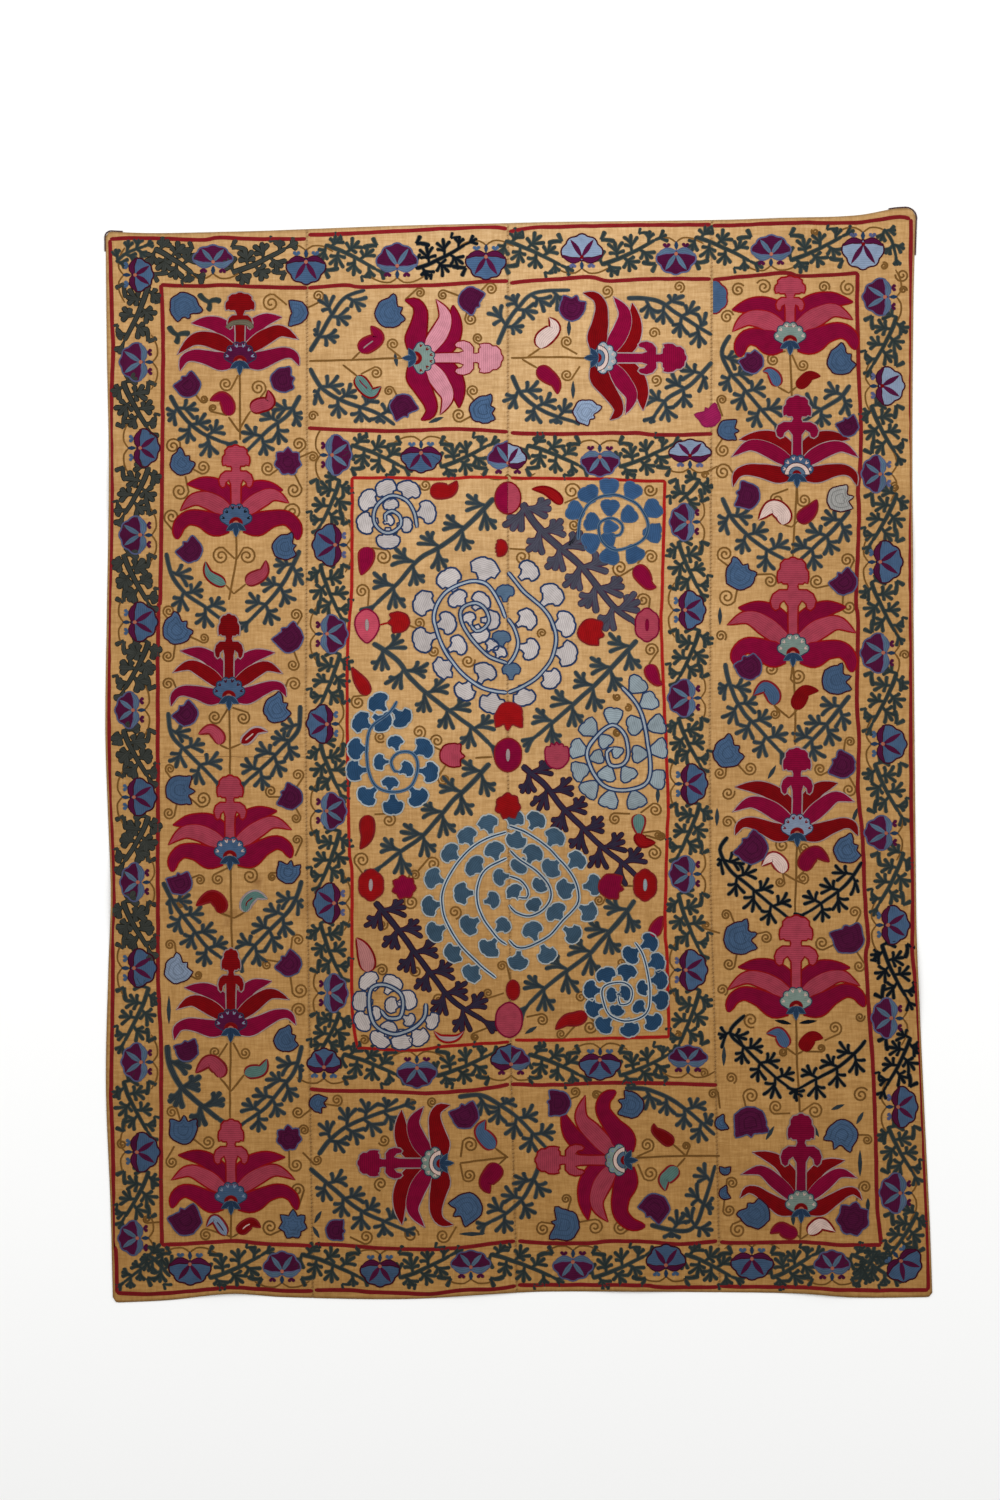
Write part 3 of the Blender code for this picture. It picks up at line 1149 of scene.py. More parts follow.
# Each border: whether it runs across, half the space between its lines, its middle, how much it
# leans from where on, and where its branches begin and end, all in chart squares
borderChart = chart("""
side level half middle from lean start end
outerTop 1 22 263 120 -0.022 135 890
outerRight 0 22 884 700 0.038 297 1262
outerBottom 1 21 1266 0 0 138 900
outerLeft 0 22 136 0 0 275 1265
innerTop 1 20 456 0 0 328 695
innerRight 0 20 689 0 0 470 1055
innerBottom 1 20 1065 0 0 330 690
innerLeft 0 19 330 0 0 470 1060
""")
border = Stitching("border_branches")
heavy = Stitching("border_heavy_branches")
for run in borderChart:
    side, level = run["side"], run["level"]
    stations = sorted(
        flower["column" if level else "row"] for flower in fanChart
        if flower["side"] == side and flower["opens"] != 310
    )
    if stations[0] - run["start"] > 30:
        stations.insert(0, run["start"] - 10)
    if run["end"] - stations[-1] > 30:
        stations.append(run["end"] + 10)
    for n, (a, b) in enumerate(zip(stations, stations[1:])):
        middle = (a + b) / 2
        spanHalf = (b - a) / 2 - coralLook["fanRoom"]
        across = run["middle"] + max(0, middle - run["from"]) * run["lean"]
        column, row = (middle, across) if level else (across, middle)
        slope = 1 if n % 2 else -1
        isHeavy = side == "outerLeft" and middle < 1000 or side == "outerTop" and middle < 260
        work = heavy if isHeavy else border
        threads, fingerHalf = ("leafDark", "heavyHalf") if isHeavy else ("leafBorder", "fingerHalf")
        if isHeavy and (level or middle < 520):
            fingerHalf = "sparseHalf"
        threads = (threads, "leafRim" if isHeavy else "leafEdge")
        navyPlaces = {"outerTop": (415, 465), "outerRight": (930, 1080)}.get(side, (0, 0))
        if navyPlaces[0] < middle < navyPlaces[1]:
            threads, fingerHalf = ("navy", "leafEdge"), "navyHalf"
        place = turned(*spot(column, row), 90 if level else 0)
        along, up = squares(spanHalf), squares(run["half"] - coralLook["lineRoom"])
        diagonal = [place(share * along, slope * rise * up) for share, rise in coralDiagonal]
        stemHalf = coralLook["stemHalf"] * (1.25 if isHeavy else 1)
        path = branchStem(work, diagonal, stemHalf, threads)
        base = 0 if level else -90
        for leaf in coralHands[:: 2 if spanHalf < coralLook["shortSpan"] else 1]:
            i = round(leaf["share"] * (len(path) - 1))
            claw(
                work, path[i], base + leaf["turn"] * slope, squares(leaf["reach"]),
                coralLook[fingerHalf], threads, leaf["fingers"],
                slope if leaf["turn"] > 30 else -slope, lobed="round" if isHeavy else None,
            )
        for leaf in coralBirds:
            x, y = place(squares(leaf["along"]) * spanHalf / 25, squares(leaf["across"]) * slope)
            birdLeaf(work, x, y, base + leaf["turn"] * slope, leaf["size"], threads, slope)
cornerSprays = (
    "116,262 127,253 145,246", "884,229 892,241 896,258",
    "165,1253 145,1266 123,1283", "878,1251 870,1264 860,1280",
)
cornerLook = {
    "reach": 0.026, "half": 0.0046, "stem": 0.0044, "form": "coral", "fingers": 2, "lean": 57,
    "spacing": 0.026, "first": 0.06,
}
for text in cornerSprays:
    branch(border, route(text), cornerLook, ("leafBorder", "leafEdge"))
border.finish(silk)
heavy.finish(silk)

# ---- palmettes

palmetteLook = {
    "upperHalf": 0.0186,
    "middleHalf": 0.0172,
    "lowerHalf": 0.0205,
    "hubHalf": 0.0350,
    "hubUp": 0.0385,
    "hubLobes": 6,
    "hubDrop": 0.010,  # the lobes' middle below the palmette's own
    "markIn": 0.70,  # the small v marks: share of the hub, length, half width, lean
    "markReach": 0.0072,
    "markHalf": 0.0014,
    "markLean": 0.42,
    "moonDrop": 0.0145,
    "calyxHalf": 0.0074,
}
# Midribs of the petals from the hub, in chart squares across and up
petalRibs = {
    "upper": ((3, 12), (15, 29), (29, 38), (49, 41)),
    "middle": ((8, 6), (26, 19), (41, 25), (58, 17)),
    "lower": ((8, -7), (20, -6), (34, -2), (47, 0), (56, -4), (60, -15)),
    "round": ((7, -8), (20, -7), (35, 0), (48, 2), (57, -5), (60, -17)),
}
petalProfiles = {
    "upper": ((0, 0.86), (0.2, 1.06), (0.45, 1.0), (0.72, 0.76), (0.9, 0.40), (1, 0.10)),
    "middle": ((0, 0.80), (0.2, 1.06), (0.45, 1.02), (0.72, 0.70), (0.9, 0.34), (1, 0.05)),
    "lower": (
        (0, 0.74), (0.16, 1.04), (0.32, 0.94), (0.5, 0.78), (0.7, 0.62), (0.88, 0.42), (1, 0.10),
    ),
    "round": (
        (0, 0.76), (0.19, 1.16), (0.42, 0.88), (0.64, 0.74), (0.82, 0.62), (0.94, 0.44), (1, 0.14),
    ),
}
# Half outline of the crown, across and up from the hub, for one 73 squares tall with a collar
# 43 squares wide and a head 29 wide
crownColumn = ((5, 10), (5, 24), (5.2, 33))
crownCollar = (
    (8.5, 37.5), (12, 35), (13, 31), (16.5, 29.5), (20, 32), (21.5, 37.5), (19, 43), (13, 46.5),
    (5.5, 46.5),
)
crownHead = (
    (4.4, 49), (5, 51), (9, 51), (10.5, 52.5), (13.5, 51.5), (14.5, 56), (14, 61), (11.5, 64),
    (11.5, 67.5), (8, 71), (4, 71.5), (1.6, 73),
)
palmetteSilks = {  # upper and lower petals, middle petals, crown, outlines
    "magentaRed": ("crimson", "red", "red", "haze"),
    "crimsonRose": ("crimson", "rose", "rose", "scarlet"),
    "redMagenta": ("red", "crimson", "crimson", "haze"),
    "crimsonPink": ("crimson", "pink", "pink", "red"),
}
palmetteMoons = {  # half width, height, then the share, fill and outline of each arch
    1: (0.0140, 0.0135, ((1, "red", "borderRed"), (0.42, "salmon", None))),
    2: (
        0.0270, 0.0250,
        ((1, "white", "plumEdge"), (0.66, "blueEdge", "calyx"), (0.34, "red", None)),
    ),
}
# Silks, sizes in chart squares, which moon, and the tips of the upper, middle and lower petals
palmetteChart = chart("""
column row up silk hub mark crown head collar plump moon ulx uly urx ury mlx mly mrx mry llx lly lrx lry
240 355 90 magentaRed plum paleBlue 63 30.5 26 1 1 191 323 282 317 177 355 299 340 180 371 299 366
236 517 90 crimsonRose blue navy 72 28 35 1.1 1 187 484 283 490 180 511 289 503 177 539 298 540
229 690 90 magentaRed blue plumEdge 77 23 30 0.92 1 180 651 275 653 172 673 283 674 171 706 286 697
230 850 90 crimsonRose blue white 75 26.5 33 1.08 1 173 825 277 811 168 845 292 830 172 872 291 858
231 1022 90 magentaRed plum paleBlue 74 20 27 0.95 1 184 988 272 981 176 1010 290 1000 174 1040 296 1025
231 1195 90 crimsonRose blue paleBlue 76 26 35 1.02 1 178 1155 285 1157 171 1180 295 1180 172 1208 297 1210
790 335 90 crimsonRose seaGrey white 59 31 29 1.2 1 732 310 853 302 732 332 853 320 740 357 856 350
797 468 90 redMagenta blue white 73 29.5 44 0.95 2 739 440 850 439 731 457 859 458 733 487 857 486
793 647 90 crimsonRose seaGrey white 90 32 46 1.22 1 738 608 846 607 727 625 856 633 735 665 852 672
797 827 90 redMagenta paleBlue red 80 29.5 33 1 1 735 787 838 783 732 812 855 802 735 835 858 836
796 1000 90 crimsonRose seaGrey white 85 33.5 44 1.08 1 738 967 850 968 727 990 860 986 728 1012 864 1007
801 1203 90 redMagenta seaGrey white 90 28 42.5 0.9 1 752 1152 845 1160 740 1175 858 1178 740 1198 862 1200
422 358 0 crimsonPink seaGrey red 81 30 35 1.14 1 453 305 459 408 436 299 440 415 405 300 421 420
604 358 0 redMagenta greyPetal white 83 30 34 1.08 2 632 303 643 411 613 296 625 415 583 293 610 420
434 1163 180 redMagenta seaGrey white 77 28 32 1.05 2 402 1225 402 1110 425 1228 424 1106 453 1225 450 1105
618 1160 180 crimsonRose seaGrey paleBlue 83 28 32 1.14 2 588 1220 562 1110 608 1222 585 1095 645 1226 616 1091
""")
petals = Stitching("palmette_petals")
crowns = Stitching("palmette_crowns")
hubs = Stitching("palmette_hubs")


def palmette(row):
    look = palmetteLook
    x, y = spot(row["column"], row["row"])
    place = turned(x, y, row["up"])
    outer, middle, crown, edge = palmetteSilks[row["silk"]]
    spin = math.radians(row["up"])
    for level, (kind, fill) in enumerate((("upper", outer), ("middle", middle), ("lower", outer))):
        for side, sign in (("l", -1), ("r", 1)):
            tipX, tipY = spot(row[kind[0] + side + "x"], row[kind[0] + side + "y"])
            dx, dy = tipX - x, tipY - y
            out = dx * math.cos(spin) + dy * math.sin(spin)
            across = dx * math.sin(spin) - dy * math.cos(spin)
            shape = "round" if kind == "lower" and row["silk"] == "crimsonRose" else kind
            rib = [complex(squares(u) * sign, squares(v)) for u, v in petalRibs[shape]]
            swing = complex(across, out) / rib[-1]
            path = []
            for k, point in enumerate(rib):  # the rib bends to end at its charted tip
                share = math.sin(math.pi / 2 * k / (len(rib) - 1))
                moved = point * (1 - share) + point * swing * share
                path.append((moved.real, moved.imag))
            petals.blade(
                path, look[kind + "Half"] * row["plump"], petalProfiles[shape], fill, edge,
                level=3 + level, spacing=0.007, place=place,
                edgeWide=0.0022 if edge == "haze" else 0.0034,
            )
    tall = row["crown"] / 73
    crownParts = (
        (crownColumn, 1), (crownCollar, row["collar"] / 43), (crownHead, row["head"] / 29),
    )
    outline = [
        (squares(u * wide), squares(v * tall)) for part, wide in crownParts for u, v in part
    ]
    outline = [*outline, *((-u, v) for u, v in reversed(outline))]
    crownEdge, edgeWide = ("scarlet", 0.0034) if crown == "rose" else (edge, 0.0026)
    crowns.patch(outline, place, crown, crownEdge, level=7, edgeWide=edgeWide)
    if row["silk"] == "magentaRed" and row["row"] < 400:  # a collar worked in another thread
        bow = [(squares(u), squares(v)) for u, v in ((-13, 27), (-7, 32), (7, 32), (13, 27))]
        crowns.blade(
            bow, 0.0058, fingerProfile, "leafHalo", "leafEdge", level=9, place=place,
            edgeWide=0.0018,
        )
    hubHalf, hubUp, lobes, drop = (look[key] for key in ("hubHalf", "hubUp", "hubLobes", "hubDrop"))
    rim = [(u, v - drop) for u, v in scalloped(hubHalf, hubUp, lobes, 0.12, math.pi, lobes * 4)]
    rim = [*rim, (-hubHalf * 0.5, -0.018), (0, -0.021), (hubHalf * 0.5, -0.018)]
    hubs.patch(rim, place, row["hub"], "calyx", level=9, edgeWide=0.0020)
    share, reach = look["markIn"], look["markReach"]
    for lobe in range(lobes):  # a small v in each lobe
        angle = math.pi * (lobe + 0.5) / lobes
        at = (hubHalf * share * math.cos(angle), hubUp * share * math.sin(angle) - drop)
        for side in (-1, 1):
            lean = angle + side * look["markLean"]
            tip = (at[0] + reach * math.cos(lean), at[1] + reach * math.sin(lean))
            hubs.blade(
                [at, tip], look["markHalf"], fingerProfile, row["mark"], level=11, spacing=0.003,
                place=place,
            )
    wide, high, arches = palmetteMoons[row["moon"]]
    for k, (share, fill, rim) in enumerate(arches):
        arch = [
            (u, v - look["moonDrop"]) for u, v in oval(wide * share, high * share, 10, math.pi)
        ]
        hubs.patch(arch, place, fill, rim, level=11 + 2 * k, edgeWide=0.0016)
    for tip in ((-0.021, -0.029), (0, -0.043), (0.021, -0.029)):  # the calyx under the hub
        bend = (tip[0] * 0.6, -0.017 + tip[1] * 0.25)
        hubs.blade(
            [(0, -0.012), bend, tip], look["calyxHalf"], leafProfile, "calyx", "blueEdge",
            level=16, spacing=0.008, place=place, edgeWide=0.0016,
        )


for row in palmetteChart:
    palmette(row)
petals.finish(silk)
crowns.finish(silk)
hubs.finish(silk)

# ---- buds

# Outlines round a bud: degrees from its open side, share of its radius
budOutlines = {
    "crown": (  # three pointed teeth
        (-180, 1.0), (-150, 1.03), (-120, 0.97), (-90, 1.02), (-66, 1.06), (-50, 1.20),
        (-36, 0.80), (-22, 0.82), (-5, 1.06), (8, 0.80), (22, 0.74), (36, 0.92), (50, 1.20),
        (64, 1.04), (92, 0.98), (120, 1.03), (150, 0.98), (180, 1.0),
    ),
    "hook": (  # one long leaf and two short bumps
        (-180, 0.98), (-152, 1.03), (-122, 0.97), (-92, 1.03), (-70, 1.02), (-52, 1.10),
        (-38, 0.82), (-24, 0.78), (-6, 0.92), (8, 0.74), (22, 0.80), (38, 1.12), (50, 1.26),
        (64, 1.04), (92, 1.02), (122, 0.97), (152, 1.03), (180, 0.98),
    ),
    "bite": (  # a bite with a small tooth between two horns
        (-180, 1.0), (-155, 0.96), (-128, 1.04), (-100, 0.97), (-74, 1.05), (-54, 1.24),
        (-40, 0.88), (-24, 0.66), (-6, 0.84), (8, 0.64), (24, 0.70), (40, 0.92), (54, 1.26),
        (72, 1.02), (98, 0.97), (126, 1.04), (154, 0.97), (180, 1.0),
    ),
    "star": (
        (-180, 0.90), (-155, 1.10), (-128, 0.86), (-102, 1.08), (-76, 0.88), (-50, 1.16),
        (-25, 0.82), (0, 1.18), (25, 0.82), (50, 1.20), (76, 0.88), (102, 1.10), (128, 0.88),
        (155, 1.10), (180, 0.90),
    ),
    "moon": (
        (-180, 1.0), (-120, 1.02), (-80, 1.04), (-60, 1.18), (-46, 0.80), (-25, 0.55),
        (0, 0.46), (25, 0.55), (46, 0.80), (60, 1.20), (80, 1.04), (120, 1.0), (180, 1.0),
    ),
    "tulip": (  # three teeth in a shallow cup
        (-180, 1.0), (-150, 1.02), (-110, 1.0), (-75, 1.0), (-54, 1.08), (-42, 0.78),
        (-28, 0.96), (-14, 0.70), (0, 0.96), (14, 0.70), (28, 0.96), (42, 0.78), (54, 1.08),
        (75, 1.0), (110, 1.0), (150, 1.02), (180, 1.0),
    ),
}
budChart = chart("""
column row wide bite silk form
184 307 30 300 blue hook
296 313 25 180 blue moon
188 385 26 130 plum bite
283 380 26 15 plum hook
182 463 25 50 blue hook
288 462 27 90 plum star
190 550 26 135 plum bite
285 547 26 15 blue hook
177 630 30 48 blue hook
289 638 30 130 plum bite
186 714 25 135 plum bite
277 709 28 35 blue hook
180 790 30 0 blue crown
290 797 26 155 plum bite
180 883 25 110 plum bite
288 872 24 80 blue crown
178 970 28 45 paleBlue hook
289 964 26 140 plum bite
187 1050 24 110 plum bite
286 1040 25 30 blue hook
183 1130 29 90 blue crown
289 1138 25 95 plum star
186 1220 32 120 plum bite
293 1225 27 90 blue star
752 362 24 130 plum hook
841 361 29 40 blue hook
728 430 22 0 blue crown
848 426 22 120 plum bite
747 496 28 165 plum bite
840 499 27 15 paleGrey crown
740 575 31 60 blue hook
844 582 27 130 plum bite
749 667 27 125 plum hook
836 680 30 20 blue crown
728 753 31 40 blue hook
842 765 28 155 plum bite
752 848 33 140 plum bite
847 850 28 30 blue hook
740 938 34 20 blue crown
848 938 33 110 plum bite
750 1123 35 280 plum bite
842 1135 32 245 blue crown
755 1214 30 130 blue hook
853 1219 33 80 plum star
722 1123 15 20 blue moon
725 1170 11 90 blue moon
725 1193 13 20 blue moon
390 313 31 30 blue hook
471 300 27 330 plum bite
403 407 27 300 plum bite
483 410 28 15 blue hook
572 308 27 75 plum crown
586 412 26 330 paleBlue hook
318 1103 18 340 blue crown
336 1230 22 0 plum bite
465 1115 29 115 plum bite
467 1208 32 215 blue crown
558 1103 27 180 plum bite
631 1105 27 165 blue crown
564 1225 33 170 blue bite
655 1208 30 230 plum bite
""")
budLook = {
    "edgeWide": 0.0028,
    "rings": (0.70, 0.38),  # chain rows that show inside, in shares of the bud
    "teeth": 1.2,  # how deep its outline is cut, and for plum silk
    "plumTeeth": 0.8,
    "uneven": 0.03,
}
buds = Stitching("buds")


def budRim(kind, half, tall=None, teeth=budLook["teeth"]):
    table, uneven = budOutlines[kind], budLook["uneven"]
    turns = sorted({d for d, _ in table} | {(a[0] + b[0]) / 2 for a, b in zip(table, table[1:])})
    points = []
    for degrees in turns[:-1]:
        share = 1 + (follow(table, degrees) - 1) * teeth + hand.uniform(-uneven, uneven)
        angle = math.radians(degrees + 90)
        points.append((half * share * math.cos(angle), (tall or half) * share * math.sin(angle)))
    return points


for row in budChart:
    x, y = spot(row["column"], row["row"])
    isPlum = row["silk"] == "plum"
    teeth = budLook["plumTeeth" if isPlum else "teeth"]
    rim = budRim(row["form"], squares(row["wide"]) / 2 * 0.96, teeth=teeth)
    buds.patch(
        rim, turned(x, y, row["bite"]), row["silk"], "lavender" if isPlum else "plumEdge",
        level=7, edgeWide=budLook["edgeWide"], rings=budLook["rings"],
    )
# a half bud cut off at the right seam, and a dark red one beside it
halfBud = scalloped(squares(15), squares(17), 7, 0.08, math.tau, 28)
seamX, y = spot(713, 297)
buds.patch(halfBud, turned(seamX, y, 90), "blue", "borderRed", level=4, cut=("right", seamX))
buds.patch(budRim("bite", squares(11)), turned(*spot(709, 416), 120), "magentaBud", level=4)
buds.finish(silk)

# ---- paisleys

paisleyProfile = (
    (0, 0.26), (0.05, 0.66), (0.15, 0.95), (0.30, 1.04), (0.52, 0.95), (0.74, 0.68), (0.9, 0.40),
    (1, 0.10),
)
paisleyLook = {
    "plump": 0.56,  # half width over the charted width
    "edgeWide": 0.0042,
    "slitHalf": 0.0013,
    "slitReach": 0.6,  # where it begins and ends, between the head, belly and bend
}
# Each paisley's head, belly, bend and tail tip, and its width
paisleyChart = chart("""
headx heady bellyx bellyy bendx bendy tailx taily wide fill edge eye
228.5 415.7 227.7 404.5 221 396.7 209.7 400.3 13 crimson borderRed none
250.5 409.5 259.7 405.3 269.7 402 268 390 14 rose red none
225.7 584 218.5 581 208.5 573.5 205.5 561.5 11 seaGreen red none
245.5 583 252.5 579 264 572 265.5 560.5 13 rose borderRed none
219.5 744.5 218.5 736 210 729.5 198.5 734 12 rose borderRed none
241.5 743.5 248 738 257 730.5 268 732 11 red haze white
219 913 220.5 904 211 896.5 196 905.5 13 red borderRed none
245.7 912 246.7 902.3 255.8 895 267.5 899 12 seaGreen haze red
219.5 1077.5 219.5 1069 208.7 1061.5 195.7 1073 14 rose borderRed none
244.5 1074.5 251 1072 262 1069.5 267 1058.7 13 seaGreen borderRed none
226 1235 221.8 1227.7 214.3 1218.5 206.7 1226.8 11 paleBlue borderRed plum
238.3 1233.5 245.3 1226 252.8 1222.7 260.7 1227.7 12 red borderRed white
777.7 386.5 775.2 377.7 769.3 371 763 371.8 12 blue borderRed none
796.7 386.7 802.5 382.5 810 375.8 820.5 376.3 11 red red none
782.7 524.8 782.7 514 771.8 507.3 758.5 519.8 16 white red none
798 521.2 804.7 516.2 812.2 508.7 817.2 499.5 14 crimson borderRed none
773.7 704.8 772.8 694.3 764.5 686.8 753.2 695.2 14 blue borderRed none
797.2 709.8 798.8 701 805.5 691 818.5 691 13 red red none
782.7 873.3 781 865 772.7 857.5 761.5 865.8 14 white borderRed none
804 871 807.3 859.3 817.3 852.7 829.3 861.8 15 crimson borderRed none
786.3 1047.7 783 1039.3 778 1032.7 766.3 1033.5 13 blue borderRed none
802.8 1050.7 807 1042.3 813.7 1036.5 822.8 1038.2 13 red red none
797.5 1233.7 788.3 1232 780 1227.8 770 1233.7 13 crimson borderRed none
808.7 1234 814.5 1228.2 822 1224 835.3 1231.5 13 white red none
360.2 351.8 366 346 377.7 337.7 371 326 15 crimson borderRed haze
356.8 375.7 361 382.3 371 393.2 381 386.5 13 seaGreen red crimson
541 348.3 543.5 339.2 554.3 328.3 549.3 317.5 16 white red none
537.3 368.3 546.5 375 555.7 383.3 557.3 394.2 14 crimson borderRed none
494.7 1148.2 488 1140.7 480.5 1130.7 485.5 1119.8 15 blue borderRed none
499 1164.3 493.2 1172.7 485.7 1183.5 489.8 1193.5 17 crimson borderRed none
673.2 1144.3 664 1137 654.8 1130.3 653.5 1123.3 12 red borderRed none
677.3 1167.3 669.8 1174.8 664 1180 665.2 1191 14 seaGreen borderRed none
429.8 490.8 439 491 450.7 490.2 457 480.8 15 scarlet borderRed none
365.7 546.8 366.5 556.2 364 567 361 575.3 15 crimson borderRed none
561.7 504.3 555 496.2 545 490.3 532 489 10 scarlet red none
634 568 641.5 574 649 584.8 656.5 587.3 15 crimson borderRed none
367.5 695 364 687 358 678 351.5 667.5 12 scarlet borderRed none
649 664.5 652 673.7 657 682 662.5 684.7 13 crimson borderRed none
366.5 815 367.3 824.5 366.5 837.7 360 849 14 scarlet borderRed none
638.7 814 638.7 824.3 639.0 832 640 836 13 seaGreen borderRed none
638.7 833 639.5 838 644 842.5 655.7 842.7 11 scarlet red none
367.2 971.7 367.2 962 363 948.7 356.3 937.8 16 dustyPink red none
653.8 937 655.5 929 659.7 920.7 663.3 916 12 crimson borderRed none
586.7 1013.5 577 1018.5 565.3 1021 555.3 1029.7 13 scarlet borderRed none
""")
paisleys = Stitching("paisleys")
for row in paisleyChart:
    head, belly, bend, tail = (
        spot(row[part + "x"], row[part + "y"]) for part in ("head", "belly", "bend", "tail")
    )
    paisleys.blade(
        [head, belly, bend, tail], squares(row["wide"]) * paisleyLook["plump"], paisleyProfile,
        row["fill"], row["edge"], level=4, spacing=0.0035, edgeWide=paisleyLook["edgeWide"],
    )
    if row["eye"] != "none":  # a thin slit along the belly
        reach = paisleyLook["slitReach"]
        slit = [between(head, belly, reach), belly, between(belly, bend, reach)]
        paisleys.line(slit, paisleyLook["slitHalf"], row["eye"], level=8, spacing=0.004)
arc = route("434,1031 440,1037 449,1039 458,1037 464,1031")
paisleys.blade(arc, 0.0100, leafProfile, "haze", "scarlet", level=4, edgeWide=0.0048)
paisleys.finish(silk)

# ---- single flowers of the middle field

fieldFlowers = Stitching("field_flowers")
flowerLook = {"eyeHalf": 0.0036, "eyeReach": 0.0130, "eyeEdge": 0.0014, "teeth": 0.8}
flowerChart = chart("""
column row wide tall turn form fill edge eye
367 625 25 34 270 drop dustyRose crimson haze
647 625 25 34 90 lobes rose crimson crimson
399 622 21 26 190 crown scarlet borderRed none
591 632 26 30 350 crown scarlet borderRed none
508 755 28 34 90 oval crimson borderRed haze
452 755 24 26 0 crown rose red none
557 755 25 27 90 tulip rose crimson none
508 806 24 22 250 star scarlet borderRed none
371 885 26 32 90 lobes scarlet borderRed haze
404 887 22 24 200 star crimson borderRed none
611 886 25 26 350 crown crimson borderRed none
645 885 24 32 90 lobes scarlet borderRed greyPetal
513 990 13 20 90 oval scarlet borderRed none
509 1020 27 35 90 oval rose crimson none
501 548 17 12 180 tulip scarlet borderRed none
""")
for row in flowerChart:
    x, y = spot(row["column"], row["row"])
    place = turned(x, y, row["turn"])
    wide, tall = squares(row["wide"]) / 2, squares(row["tall"]) / 2
    if row["form"] in ("lobes", "oval", "drop"):
        rim = scalloped(wide, tall, 6, 0.08 if row["form"] == "lobes" else 0.02, math.tau, 24)
        if row["form"] == "drop":  # narrows to a point
            rim = [
                (u * (1 - 0.28 * max(0, v / tall)), v * (1.06 if v > 0 else 0.94)) for u, v in rim
            ]
    else:
        isTulip = row["form"] == "tulip"
        rim = budRim(row["form"], wide, tall if isTulip else None, flowerLook["teeth"])
    fieldFlowers.patch(rim, place, row["fill"], row["edge"], level=7)
    if row["eye"] != "none":
        eye = oval(flowerLook["eyeHalf"], flowerLook["eyeReach"], 10)
        fieldFlowers.patch(eye, place, row["eye"], level=10, edgeWide=flowerLook["eyeEdge"])
# an oval at the middle seam, half crimson and half rose
x, y = spot(508, 498)
seamX = follow(middleSeam, y)
for fill, edge, cut in (
    ("crimson", "borderRed", ("left", seamX - seamRoom)),
    ("rose", "red", ("right", seamX + seamRoom)),
):
    whole, place = oval(squares(13), squares(16), 20), turned(seamX, y, 90)
    fieldFlowers.patch(whole, place, fill, edge, level=7, cut=cut)
# a pomegranate above the middle, its teeth down
pomegranate = budRim("crown", squares(14))
fieldFlowers.patch(pomegranate, turned(*spot(509, 716), 270), "scarlet", "borderRed", level=7)
fieldFlowers.line(route("379,625 391,622"), 0.0018, "scarlet", level=9)
fieldFlowers.finish(silk)

# ---- rosettes of the middle field

# Half outlines of a petal of these, across and outwards in shares of its width
petalHalves = {
    "ginkgo": (
        (0.12, -0.58), (0.16, -0.38), (0.29, -0.23), (0.43, -0.24), (0.53, -0.11),
        (0.53, 0.08), (0.43, 0.27), (0.27, 0.38), (0.12, 0.43),
    ),
    "wedge": (
        (0.12, -0.54), (0.32, -0.33), (0.48, -0.10), (0.56, 0.10), (0.52, 0.32), (0.34, 0.42),
        (0.14, 0.45),
    ),
}
rosetteChart = chart("""
name form edgeWide fill edge line lineEdge lineHalf
topLeft ginkgo 0.0040 palePetal paleEdge paleLine paleEdge 0.0051
topRight wedge 0.0026 roseBlue blue deepBlue blueEdge 0.0034
large ginkgo 0.0042 palePetal paleEdge paleLine paleEdge 0.0051
left ginkgo 0.0030 deepBlue paleHalo deepBlue blueEdge 0.0036
right wedge 0.0032 greyPetal paleEdge paleLine paleEdge 0.0054
great ginkgo 0.0028 largeBlue paleHalo deepBlue paleHalo 0.0044
bottomLeft ginkgo 0.0034 palePetal paleEdge paleLine paleEdge 0.0058
bottomRight ginkgo 0.0028 deepBlue paleHalo deepBlue paleHalo 0.0040
""")
